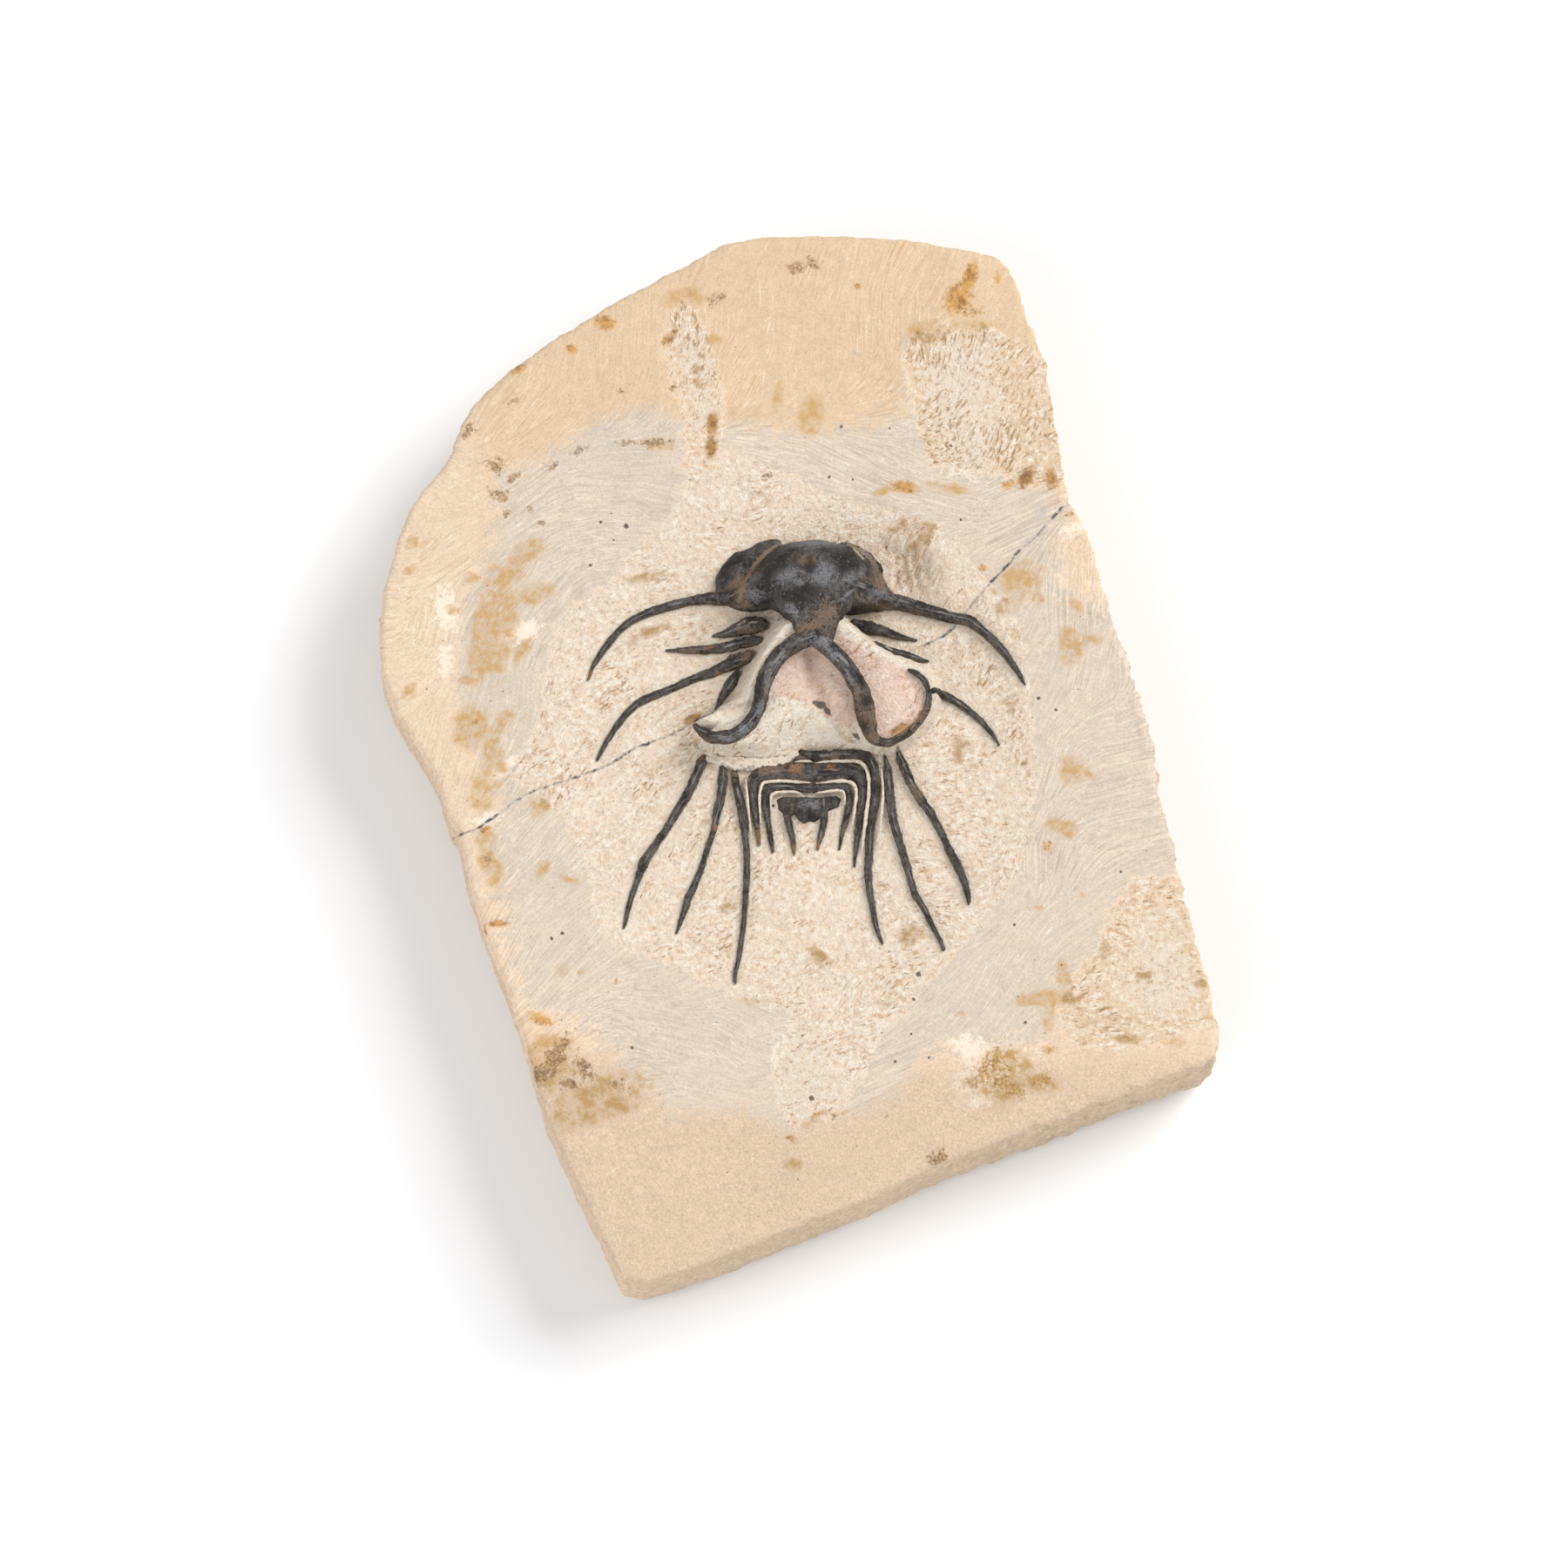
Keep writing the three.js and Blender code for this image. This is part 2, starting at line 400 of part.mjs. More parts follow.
const group = new THREE.Group();
const slab = wholeSlab.subtract(crackBlade(CRACK_LEFT)).subtract(crackBlade(CRACK_RIGHT))
  .simplify(FINEST);
group.add(namedMesh("matrix_slab", slab, stone));
group.add(namedMesh("cephalon", seated(headSolid()), calcite));
for (const [name, run] of Object.entries(SPINES)) {
  group.add(namedMesh(name, seated(taperedBar(layOnStone(run, 0.1, 1.1), 2.8, 6)), calcite));
}
group.add(namedMesh("pygidium", seated(tailSolid()), calcite));

export default group;
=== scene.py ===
"""Looks of a ram-horned trilobite on its limestone slab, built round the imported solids."""
import math

import bpy
import numpy as np
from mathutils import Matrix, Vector


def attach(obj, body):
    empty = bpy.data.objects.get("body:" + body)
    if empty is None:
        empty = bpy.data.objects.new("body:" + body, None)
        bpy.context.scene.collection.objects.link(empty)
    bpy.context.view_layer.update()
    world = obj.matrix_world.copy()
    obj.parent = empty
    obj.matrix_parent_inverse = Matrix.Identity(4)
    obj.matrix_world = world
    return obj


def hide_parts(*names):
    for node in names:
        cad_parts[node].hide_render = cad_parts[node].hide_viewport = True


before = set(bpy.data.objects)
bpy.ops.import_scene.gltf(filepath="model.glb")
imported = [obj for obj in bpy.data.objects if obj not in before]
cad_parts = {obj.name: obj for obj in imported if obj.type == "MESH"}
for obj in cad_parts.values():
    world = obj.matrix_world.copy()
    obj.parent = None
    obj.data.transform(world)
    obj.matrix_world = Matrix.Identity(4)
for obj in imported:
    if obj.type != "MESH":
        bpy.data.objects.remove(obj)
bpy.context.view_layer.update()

# ---- driving dimensions, in millimetres --------------------------------------------------
MM = 0.001
FACE_Z = 18.0  # the untouched face of the slab
SIGHT_LEAN = math.radians(14)  # the sight line leans to the slab's foot
HUB = (2.0, 8.0)  # middle of the raised stone between the horns
HUB_Z = 22.2

DISH_CENTRE, DISH_HALF, DISH_DEPTH, DISH_EDGE = (0, -1), (33, 39), 1.2, 0.16
SCOOP_CENTRE, SCOOP_RADIUS, SCOOP_DEPTH = (17.5, 27.5), 6.5, 1.1

CALCITE_UNDER_Z = 15.5  # head and tail end here inside the stone
HEAD_HUB, HEAD_BASE_Z, HEAD_RISE = (2.2, 25.6), 17.3, 9.6
CREASE_DEPTH, CREASE_WIDTH = 1.4, 1.2
PIT_DEPTH, PIT_WIDTH = 1.2, 0.8
GOUGE_DEPTH, GOUGE_WIDTH = 0.5, 0.6
VAULT_FALL, VAULT_CURVE = 2.4, 0.8  # how a vault falls from its crown to its rim
FURROW_X, FURROW_WIDTH, FURROW_DEPTH = 4.6, 1.0, 0.3
CHEEK_X, CHEEK_Y, CHEEK_WIDTH, CHEEK_LENGTH, CHEEK_RISE = 7.6, 26, 2.2, 2.6, 0.7
SADDLE_Z, SADDLE_BACK_Y, SADDLE_FRONT_Y = 26.2, 20, 23  # the neck's bed in the back of the head
SADDLE_BACK_WIDTH, SADDLE_WIDENING, SADDLE_SIDE_FALL, SADDLE_FRONT_FALL = 6, 0.8, 3, 0.8
SADDLE_BLEND = 0.7
FLANGE_HALF, FLANGE_TOP_Z, FLANGE_LOW_Z, FLANGE_FALL = (12.4, 7.4), 20.2, 18.2, 7.0
FLANGE_LEVEL, FLANGE_LIP, FLANGE_LIP_CURVE = 0.9, 0.9, 8
LEFT_FLANGE_HUB, RIGHT_FLANGE_HUB = (-6.5, 28), (10.6, 29.6)
NECK_SINK = 1.4  # the neck's middle line lies this far under its crest
TAIL_HUB, TAIL_BASE_Z, TAIL_RISE = (2.1, -8.6), 16.6, 2.1
TAIL_SINK, TAIL_AXIS_RISE, TAIL_AXIS_WIDTH = 0.35, 0.5, 1.2
RIB_HEIGHT, RIB_SLANT, RIB_BENDS = 0.16, 0.5, 3.4

# The slab's skin is laid out in rings round the hub: from, to and step of each zone.
FACE_STEPS = [(0, 9.9, 0.3), (9.9, 22.2, 0.3), (22.2, 42.2, 0.5)]
FACE_SPOKES = [200, 400, 800]
OUTER_RINGS = 35
LIP_WIDTH = 0.5  # between the last ring of the face and the rounded edge
SIDE_LEVEL_Z = 8  # the side follows the waves of the face down to here
BACK_INSET = 4.0  # the last ring of the back lies this far inside the rounded edge

FLOOR_WAVE, WAVE_BENDS, WAVE_START = 0.2, (0.11, 0.09), 1
LOOP_STEPS, DOME_STEPS = 60, 6  # steps between two points of a loop
RING_CROWDING = 0.9  # below 1, a dome's rings lie closer towards its rim
HEAD_VOXEL, TAIL_VOXEL = 0.16, 0.12
HEAD_RELAXING, TAIL_RELAXING, RELAX_SHARE = 1, 2, 0.5
STONE_ROUNDING, EDGE_ROUNDING = 1.6, 0.25  # degrees round the hub
SLOPE_ROOM = 0.4  # the foot stays this far outside the rim
LAY_ROUNDS = 6  # a bar's points settle on the stone in this many rounds

# How the bars lie: the stone to their middle, as a share of their width and as a plain distance.
SPINE_LAY = {"lift": 0.1, "clearance": 0.2}
HORN_LAY = {"lift": 0.25, "clearance": 0.25}
SEAM_LAY = {"lift": 0.6, "clearance": 0.6}
LEDGE_LAY = {"lift": 0.15, "clearance": 0.1}
BAR_WIDTH = 0.95  # the lumps of a bar make up the rest
BAND_BROADER = 1.35  # the segments where they lie across the body
SEED_STEP = 0.37  # moves the lumps from one bar to the next
# Where the calcite counts as a spine: in half widths from the middle, and in millimetres.
SPINE_SHOULDER, SPINE_REACH = (1.6, 1.15), (2.2, 1.8)

# ---- plan points, in millimetres ---------------------------------------------------------
SLAB_OUTLINE = [
    (-11.1, 81), (-5, 82.2), (5.7, 82.3), (16.9, 81.7), (26.9, 80.1), (31.4, 79), (33.6, 76.2),
    (35.6, 69.8), (38.9, 61.2), (39.6, 54.9), (40.5, 48.2), (41.9, 39.4), (44.6, 34.9),
    (46.3, 29.3), (47.7, 23.2), (50.2, 15.8), (52.5, 7.9), (54.4, 0.6), (55.2, -6.7), (57, -14.5),
    (58.8, -23.5), (60.5, -30.2), (62.1, -36.4), (63.2, -42.5), (63.4, -45.7), (62.9, -47.8),
    (61.2, -48.8), (50.5, -52.8), (34.8, -59), (21.3, -64), (12.4, -68.5), (1.2, -73),
    (-12.2, -78.6), (-22.6, -81.9), (-25.8, -81), (-37.3, -57), (-39.9, -47.2), (-42.8, -38.2),
    (-46.1, -30.4), (-48.9, -22), (-50.8, -14), (-51, -12.6), (-52.2, -11.4), (-54.8, -3.5),
    (-58.1, 1.8), (-60.9, 6.2), (-62.8, 11.5), (-63.3, 17.5), (-62.7, 25.8), (-60.3, 34.9),
    (-57.4, 40.7), (-53.5, 45.4), (-52.7, 47.4), (-51.3, 51.9), (-49.6, 54.8), (-44, 60.5),
    (-36.2, 66.2), (-27.1, 71.9), (-18, 77),
]
# The slab's edge from the face down: how far inside the outline, and how high.
SLAB_SIDE = [
    (0.8, 17.88), (0.5, 17.7), (0.28, 17.3), (0.14, 16.7), (0.05, 15.6), (0, 13.8), (0, 11.9),
    (0, 10), (0, 8.1), (0, 6.2), (0.05, 4.5), (0.35, 2.7), (0.7, 1.3), (1.0, 0.4), (1.3, 0),
]
# Rim of the raised stone: sighted x, sighted y, height.
RIM = [
    (-1.3, 19, 25.3), (-3.4, 16.2, 24.8), (-5.2, 13.2, 24.2), (-6.2, 10.5, 23.8),
    (-6.8, 7.8, 23.2), (-7.8, 5.9, 22.8), (-9.5, 4.3, 22.3), (-11.6, 3.7, 21.8),
    (-13.8, 4.6, 21.3), (-15.3, 5, 21), (-16, 3.8, 21), (-15, 1.9, 21.3), (-12.8, 0.8, 21.7),
    (-10, 0.6, 21.9), (-7.5, 1.2, 21.6), (-5.2, 1.2, 20.6), (-3, 1.2, 19.6), (-0.5, 1.6, 18.8),
    (2.5, 1.8, 18.6), (5.5, 1.8, 18.8), (8.5, 1.5, 19.6), (10.8, 0.8, 20.8), (13, 0.4, 21),
    (15.4, 1, 21), (17.9, 2.3, 21.1), (20, 4.6, 21.3), (21.1, 7, 21.4), (21.2, 9.4, 21.5),
    (20.2, 11.7, 21.6), (18, 13.1, 21.8), (15, 14, 22.3), (12.6, 15, 23), (10.7, 16.4, 24),
    (9, 18, 24.8), (7.4, 19.6, 25.4), (3, 21, 25.6),
]
FOOT = [
    (-2.5, 22.2), (-4.6, 18.7), (-5.9, 16.2), (-7.4, 13.7), (-9.1, 10.8), (-10.9, 7.7),
    (-13, 6.1), (-15.7, 6), (-17.1, 4.4), (-16.4, 2.2), (-14.6, 0.4), (-12, -0.7), (-9.5, -1.5),
    (-7, -2.1), (-4.5, -2.5), (-2, -2.2), (0, -1), (2, -0.1), (4, -0.1), (6, 0.1), (9, -0.1),
    (11, -0.4), (13.5, -0.7), (16, -0.2), (18.6, 1.3), (21.1, 4), (22.4, 7), (22.5, 9.8),
    (21.3, 12.7), (18.6, 14.6), (15.6, 15.4), (13.1, 16.8), (11.2, 18.3), (9.6, 20.2), (8, 22.2),
    (3, 24.2),
]
DOME_OUTLINE = [
    (-9.8, 24.2), (-9.1, 25.5), (-7.9, 27.1), (-6.9, 28.4), (-5.6, 29.6), (-4.3, 30.8),
    (-3.3, 31.6), (-2.4, 32.1), (-1.2, 32.5), (0.3, 32.8), (1.8, 33), (3.3, 33), (4.8, 32.9),
    (6.4, 32.6), (7.6, 32.2), (9.1, 31.5), (10.2, 30.8), (11.2, 29.8), (12.3, 29.1), (13.2, 28.2),
    (13.7, 27), (14.2, 25.8), (14.9, 24.6), (16, 23.5), (15.5, 22.3), (12.7, 21.9), (10.4, 21.6),
    (8.4, 21.3), (6.6, 20.6), (5, 20), (2.5, 19.8), (0.3, 20.2), (-1.3, 21.2), (-3.6, 22.2),
    (-5.3, 22), (-6.6, 21.8), (-8.3, 22), (-10, 22.7),
]
LEFT_FLANGE = [
    (-2.2, 32.9), (-2.7, 33.2), (-3.7, 33.2), (-4.8, 32.9), (-5.9, 32.5), (-6.7, 31.8),
    (-7.9, 31.4), (-8.9, 31.3), (-9.8, 30.5), (-10.6, 29.5), (-11.3, 28.6), (-11.9, 27.6),
    (-12.1, 26.4), (-12, 25.3), (-12.2, 24.3), (-9.9, 23.2), (-7.4, 24), (-5, 26), (-2.6, 28.5),
    (-1.6, 30.8),
]
RIGHT_FLANGE = [
    (7, 32.4), (8.2, 32.5), (9.5, 32), (10.6, 31.4), (11.8, 30.6), (12.4, 29.5), (13.2, 28.9),
    (13.5, 27.8), (11.6, 27.6), (10, 28.6), (8.4, 30),
]
TAIL_OUTLINE = [
    (-3, -7.5), (-2, -7), (0.3, -7.1), (1.3, -7), (3.2, -7.2), (4.6, -7), (6.6, -6.8),
    (7.3, -7.4), (7, -8.6), (5.4, -9.3), (4.6, -9.8), (3.7, -10.7), (3, -11.2), (2.3, -10.9),
    (1.3, -11.4), (0.6, -10.9), (-0.1, -9.8), (-0.8, -10.2), (-1.8, -9.9), (-2.8, -9),
]
# Runs of the spines and bars: sighted x, sighted y, width.
NECK = [(3, 24, 12), (3, 22.4, 11), (3.1, 21, 9), (3.1, 19.8, 7.2), (3.1, 18.6, 6.2), (2.8, 17.2, 5.2)]
NECK_CREST = [25.4, 26, 26.2, 26.2, 26.1, 25.4]
LEFT_HORN = [
    (3, 17.6, 2.8), (0.3, 16.6, 2.6), (-1.8, 15, 2.5), (-3.2, 13.3, 2.5), (-4.4, 11, 2.4),
    (-4.9, 9, 2.3), (-5.3, 7, 2.2), (-6.2, 4.8, 2.1), (-7.8, 3, 2), (-10, 1.9, 2),
    (-12.5, 1.9, 1.8), (-14.4, 3, 1.2), (-15.1, 3.9, 0.7),
]
RIGHT_HORN = [
    (3, 17.6, 2.8), (5.7, 15.2, 2.5), (7.5, 13.3, 2.5), (9, 11, 2.6), (10.2, 8.3, 2.8),
    (10.6, 6, 3), (11.1, 3.8, 2.6), (12, 1.7, 1.8), (14, 1, 1.3), (16, 1.9, 1.2),
    (17.8, 3.2, 1.2), (19.3, 5, 1.1), (20.1, 7, 1), (20.2, 9, 0.9), (19.6, 10.6, 0.9),
    (18.4, 11.8, 0.8), (17, 12.4, 0.5),
]
LEFT_GENAL_SPINE = [
    (-8, 24.2, 2.8), (-10.5, 23.6, 2), (-13, 23.7, 1.8), (-16, 23.3, 1.4), (-19, 22.5, 1.3),
    (-22, 21.6, 1.2), (-24.5, 20.4, 1.1), (-26.5, 18.8, 1), (-28, 17, 1), (-29.5, 14.9, 0.9),
    (-30.7, 12.8, 0.6), (-31.4, 10.7, 0.3),
]
RIGHT_GENAL_SPINE = [
    (10, 23.6, 3), (14, 23.2, 2.6), (16, 23, 2.3), (20, 21.9, 2), (24, 20.7, 1.7),
    (26.5, 20.2, 1.6), (28.5, 18.7, 1.4), (30.5, 16.8, 1.2), (32.3, 14.6, 1.1), (33.8, 12.3, 0.8),
    (35, 10, 0.3),
]
SPINES = {
    "pleura_left_1": [
        (-4.2, 19.5, 1.2), (-5, 19.6, 2.3), (-6.5, 19.5, 2.7), (-8.5, 18.9, 2.1),
        (-10.5, 18.2, 1.3), (-12.5, 17.8, 0.3),
    ],
    "pleura_left_2": [
        (-5.2, 17.2, 1.3), (-8, 16.7, 1.7), (-11, 15.9, 1.6), (-14, 15.6, 1.4), (-17, 15.6, 0.9),
        (-19.6, 15.5, 0.3),
    ],
    "pleura_left_3": [
        (-6.6, 14.7, 2.1), (-8, 14.2, 2.2), (-10, 13.3, 2), (-12.5, 12.1, 1.5), (-15.5, 11, 1.2),
        (-18.5, 9.6, 1.1), (-21.5, 8.4, 1.2), (-24, 7, 1.1), (-26, 5, 1), (-27.5, 2.8, 0.9),
        (-28.8, 0.6, 0.7), (-29.9, -1.7, 0.4),
    ],
    "pleura_left_4": [
        (-8.3, 12.6, 0.7), (-8.9, 11.6, 1.3), (-9.6, 10.3, 1.7), (-10.5, 9, 1.4),
        (-11.3, 7.6, 0.9), (-11.9, 6.3, 0.3),
    ],
    "pleura_right_1": [
        (8.8, 19.8, 0.9), (9.6, 19.6, 1.8), (10.8, 19.1, 2.2), (12.5, 18.8, 1.9),
        (14.5, 18.2, 1.4), (16.5, 17.6, 0.9), (18.6, 17.1, 0.3),
    ],
    "pleura_right_2": [
        (12.2, 16.8, 0.7), (13.4, 16.1, 0.9), (15, 15.4, 1), (17, 14.8, 1.2), (19, 14.1, 0.9),
        (20.4, 13.8, 0.3),
    ],
    "pleura_right_3": [
        (20.9, 9.2, 0.8), (22, 8.8, 1.1), (22.8, 8.4, 1.3), (24.5, 7.5, 1.2), (26.5, 6, 1),
        (28.3, 4.4, 0.9), (29.8, 2.6, 0.7), (31, 0.6, 0.3),
    ],
    "trunk_spine_left_1": [
        (-13.5, -0.6, 0.6), (-14, -2, 1.5), (-14.9, -4.1, 1.5), (-16.3, -7.2, 1.4),
        (-18, -10, 1.3), (-19.4, -12.5, 1.1), (-21.3, -15.3, 1.2), (-22.7, -17.6, 1.5),
        (-23.6, -20.1, 1), (-24.7, -23.4, 0.8), (-25.2, -25.7, 0.7), (-25.7, -27.8, 0.3),
    ],
    "trunk_spine_left_2": [
        (-11, -1.8, 0.7), (-10.8, -4.4, 1.5), (-11.1, -7.2, 1.4), (-11.7, -9.7, 1.3),
        (-12.2, -12.5, 0.9), (-13.2, -15.6, 0.9), (-14, -18.4, 0.9), (-14.9, -20.6, 1),
        (-16, -23.2, 1.2), (-16.8, -25.7, 0.9), (-17.8, -28.6, 0.3),
    ],
    "trunk_spine_left_3": [
        (-9.2, -2.3, 0.5), (-8.9, -5.2, 1.3), (-8.3, -8, 1.4), (-7.7, -10.8, 1.4),
        (-7.4, -13.9, 1.1), (-7.2, -16.7, 1), (-7.2, -20.1, 1), (-7.4, -22.9, 0.9),
        (-7.6, -26.2, 0.8), (-8, -29.6, 0.8), (-8.4, -32.4, 0.7), (-9, -35.2, 0.6),
        (-8.8, -36.3, 0.3),
    ],
    "trunk_spine_right_1": [
        (13.6, -1, 0.5), (14.1, -3, 1.2), (14.2, -4.6, 1.4), (14.4, -7.1, 1.5), (14.7, -9.7, 1.4),
        (15.2, -12.2, 1.3), (15.9, -14.7, 1.2), (16.7, -17.5, 1.2), (17.3, -19.6, 1),
        (18.1, -22.3, 1.1), (19.4, -24.6, 0.9), (20.6, -27.2, 0.8), (21.9, -29.7, 0.6),
        (22.4, -31.1, 0.4),
    ],
    "trunk_spine_right_2": [
        (15.7, -0.4, 0.7), (16.1, -1.6, 1.4), (16.8, -3.3, 1.5), (17.8, -5.6, 1.3),
        (19, -7.7, 1.4), (20.4, -9.7, 1.3), (21.4, -11.5, 1.2), (22.4, -13.5, 1.1),
        (23.4, -15.8, 1.2), (24.7, -18.3, 1.3), (25.6, -20.6, 1.1), (26.1, -22.9, 0.8),
        (26.2, -24.1, 0.3),
    ],
    "thorax_segment_7": [
        (-0.2, -1.2, 0.9), (1.4, -0.95, 1.4), (4, -1.1, 1.4), (7.5, -1.05, 1.4),
        (10.2, -1.1, 1.5), (11.5, -1.7, 1.5), (12.1, -3.4, 1.3), (12.3, -6, 1.3), (12, -9, 1.3),
        (11.5, -12, 1.3), (11.3, -15, 1.2), (11.1, -18.5, 1.2), (11.2, -21.3, 1.1),
        (11.7, -24.4, 0.9), (12.2, -27.3, 0.8), (13.2, -30.2, 0.3),
    ],
    "thorax_segment_8": [
        (-5.4, -15, 0.3), (-5.5, -13.5, 0.7), (-5.8, -11, 1), (-6.1, -8, 1.3), (-6.3, -5.6, 1.5),
        (-5.6, -4.1, 1.8), (-3.4, -3.8, 2), (0.2, -3.6, 2.3), (4, -3.7, 2.2), (8, -3.5, 2.1),
        (9.7, -4, 1.8), (10.2, -5.6, 1.5), (10.2, -7.5, 1.4), (9.8, -11, 1.1), (9.3, -14.5, 0.8),
        (9, -18.3, 0.3),
    ],
    "thorax_segment_9": [
        (-3.3, -16, 0.4), (-3.5, -14.5, 0.8), (-3.9, -12, 0.9), (-4.3, -9, 1.1), (-4.4, -7, 1.1),
        (-3.8, -6, 1.1), (-2.2, -5.8, 1.1), (0.4, -6, 1), (3.1, -6.1, 1), (5.8, -5.8, 1),
        (7.4, -5.8, 1.1), (8.2, -6.7, 1.1), (8.2, -8.5, 1.1), (7.8, -10.5, 1), (7.2, -13, 0.7),
        (6.7, -15.7, 0.3),
    ],
}
TAIL_SPINES = {
    "left": [
        (-1, -8.6, 1.3), (-1.2, -9.8, 1.2), (-0.8, -12, 1.1), (-0.3, -14, 0.9), (-0.1, -16.4, 0.4),
    ],
    "right": [
        (4.4, -8.6, 1.3), (4.5, -9.8, 1.2), (4.4, -11.5, 1.1), (4, -13.2, 0.9), (3.4, -15.6, 0.4),
    ],
}
# Light seams of stone that stand between the bars of the thorax.
SEAMS = [
    [(0.1, -1.95, 0.15), (1.6, -1.9, 0.45), (2.7, -1.95, 0.1)],
    [(3.2, -2.15, 0.15), (5, -1.95, 0.45), (7.5, -1.9, 0.45), (9.4, -1.9, 0.5), (10.5, -2.6, 0.5),
     (11.1, -4.2, 0.5), (11.2, -6.8, 0.5), (10.8, -10.3, 0.55), (10.4, -13.5, 0.45), (10.2, -16, 0.1)],
    [(-5.1, -11.5, 0.15), (-5.3, -8, 0.4), (-5, -5.8, 0.45), (-4.2, -5.1, 0.45), (-1.6, -4.95, 0.45),
     (0.6, -5.1, 0.4), (2.8, -5.2, 0.1)],
    [(3.3, -5.3, 0.15), (5.8, -5, 0.45), (8, -5, 0.45), (9.1, -5.7, 0.45), (9.3, -7.5, 0.45),
     (9, -9.9, 0.4), (8.6, -12.5, 0.1)],
    [(-3.5, -9.5, 0.15), (-3.6, -8, 0.35), (-3.2, -6.95, 0.4), (-1.6, -6.65, 0.4), (0.5, -6.75, 0.35),
     (1.4, -7.6, 0.1)],
    [(3.2, -6.85, 0.15), (5, -6.6, 0.4), (6.7, -6.4, 0.4), (7.5, -6.9, 0.4), (7.6, -8.6, 0.1)],
    [(13.1, -3, 0.15), (13.35, -6.8, 0.4), (13, -11.5, 0.35), (12.7, -15.5, 0.1)],
    [(-7.4, -4.6, 0.15), (-7.2, -7, 0.4), (-6.9, -10, 0.35), (-6.5, -13.4, 0.1)],
]
# The crumbling ledge at the foot of the raised stone.
LEDGE = [
    (-15.2, 0.9, 0.6), (-13.6, -0.5, 1.3), (-11.6, -1.5, 1.7), (-9.4, -2.1, 1.9),
    (-6.8, -2.3, 1.9), (-4, -2.3, 1.7), (-1.6, -1.6, 1.4), (0.2, -0.6, 1), (2.2, -0.3, 0.4),
]
# The crease, the pit and the gouges cut into the raised and worked stone.
CREASE = [(2.7, 15.3), (3, 11.5), (3.7, 8), (5.4, 5.4), (8, 2.9), (9.4, 1.9)]
PIT = (9.2, 2.1)
GOUGES = [
    [(16.6, 30.4), (17, 27.6), (17.4, 25.2)], [(18, 31), (18.5, 28), (18.9, 25.6)],
    [(15.2, 31.6), (15.7, 29)], [(19.8, 30), (20.2, 27)], [(15.3, 27.6), (15.8, 25.4)],
    [(13.6, 32.6), (13.9, 31)],
]

# ---- height of the stone -----------------------------------------------------------------
TABLE_SIZE = 2880
TABLE_ANGLES = (np.arange(TABLE_SIZE) / TABLE_SIZE) * 2 * math.pi - math.pi


def plumb(y, z):
    """True y of a sighted point, for its true height."""
    return y - (z - FACE_Z) * math.tan(SIGHT_LEAN)


def sighted(points):
    """x and sighted y of true points."""
    return points[:, 0], points[:, 1] + (points[:, 2] - FACE_Z) * math.tan(SIGHT_LEAN)


def smoothstep(low, high, value):
    part = np.clip((value - low) / (high - low), 0, 1)
    return part * part * (3 - 2 * part)


def dense_loop(loop, steps_each):
    """The columns of a closed loop, with even steps between its points."""
    closed = np.array([*loop, loop[0]], float)
    steps = np.linspace(0, len(loop), steps_each * len(loop), endpoint=False)
    return [np.interp(steps, np.arange(len(closed)), column) for column in closed.T]


def from_hub(x, y):
    """Direction and distance of points from the hub."""
    return np.arctan2(y - HUB[1], x - HUB[0]), np.hypot(x - HUB[0], y - HUB[1])


def polar_table(loop, rounding_deg):
    """Distance from the hub to a closed loop, and the loop's height, for every table angle."""
    x, y, *height = dense_loop(loop, LOOP_STEPS)
    angles, radius = from_hub(x, y)
    tables = [np.interp(TABLE_ANGLES, angles, value, period=2 * math.pi)
              for value in (radius, *height)]
    places = np.arange(TABLE_SIZE)
    offsets = np.degrees(np.minimum(places, TABLE_SIZE - places) * 2 * math.pi / TABLE_SIZE)
    kernel = np.exp(-(offsets / rounding_deg) ** 2)
    spectrum = np.fft.rfft(kernel / kernel.sum())
    return [np.fft.irfft(np.fft.rfft(table) * spectrum, TABLE_SIZE) for table in tables]


def at_angles(angles, *tables):
    """What each table of the stone's outlines says in some directions from the hub."""
    return [np.interp(angles, TABLE_ANGLES, table, period=2 * math.pi) for table in tables]


RIM_RADIUS, RIM_HEIGHT = polar_table([(x, plumb(y, z), z) for x, y, z in RIM], STONE_ROUNDING)
FOOT_RADIUS = np.maximum(polar_table(FOOT, STONE_ROUNDING)[0], RIM_RADIUS + SLOPE_ROOM)
EDGE_RADIUS = polar_table(SLAB_OUTLINE, EDGE_ROUNDING)[0]


def floor_height(x, y):
    """The worked floor round the fossil and the plain face outside it."""
    reach = np.hypot((x - DISH_CENTRE[0]) / DISH_HALF[0], (y - DISH_CENTRE[1]) / DISH_HALF[1])
    dish = DISH_DEPTH * (1 - smoothstep(1 - DISH_EDGE, 1 + DISH_EDGE, reach))
    scoop_reach = np.hypot(x - SCOOP_CENTRE[0], y - SCOOP_CENTRE[1]) / SCOOP_RADIUS
    scoop = SCOOP_DEPTH * (1 - smoothstep(0, 1, scoop_reach))
    wave = FLOOR_WAVE * np.sin(x * WAVE_BENDS[0] + WAVE_START) * np.sin(y * WAVE_BENDS[1])
    return FACE_Z - dish - scoop + wave


def stone_height(x, y):
    """Height of the stone inside the outline: hub, rim, foot and floor in turn."""
    x, y = np.asarray(x, float), np.asarray(y, float)
    angle, radius = from_hub(x, y)
    rim, rim_z, foot = at_angles(angle, RIM_RADIUS, RIM_HEIGHT, FOOT_RADIUS)
    inside = HUB_Z + (rim_z - HUB_Z) * np.clip(radius / rim, 0, 1) ** 2
    slope = smoothstep(rim, foot, radius)
    return inside + (floor_height(x, y) - inside) * slope


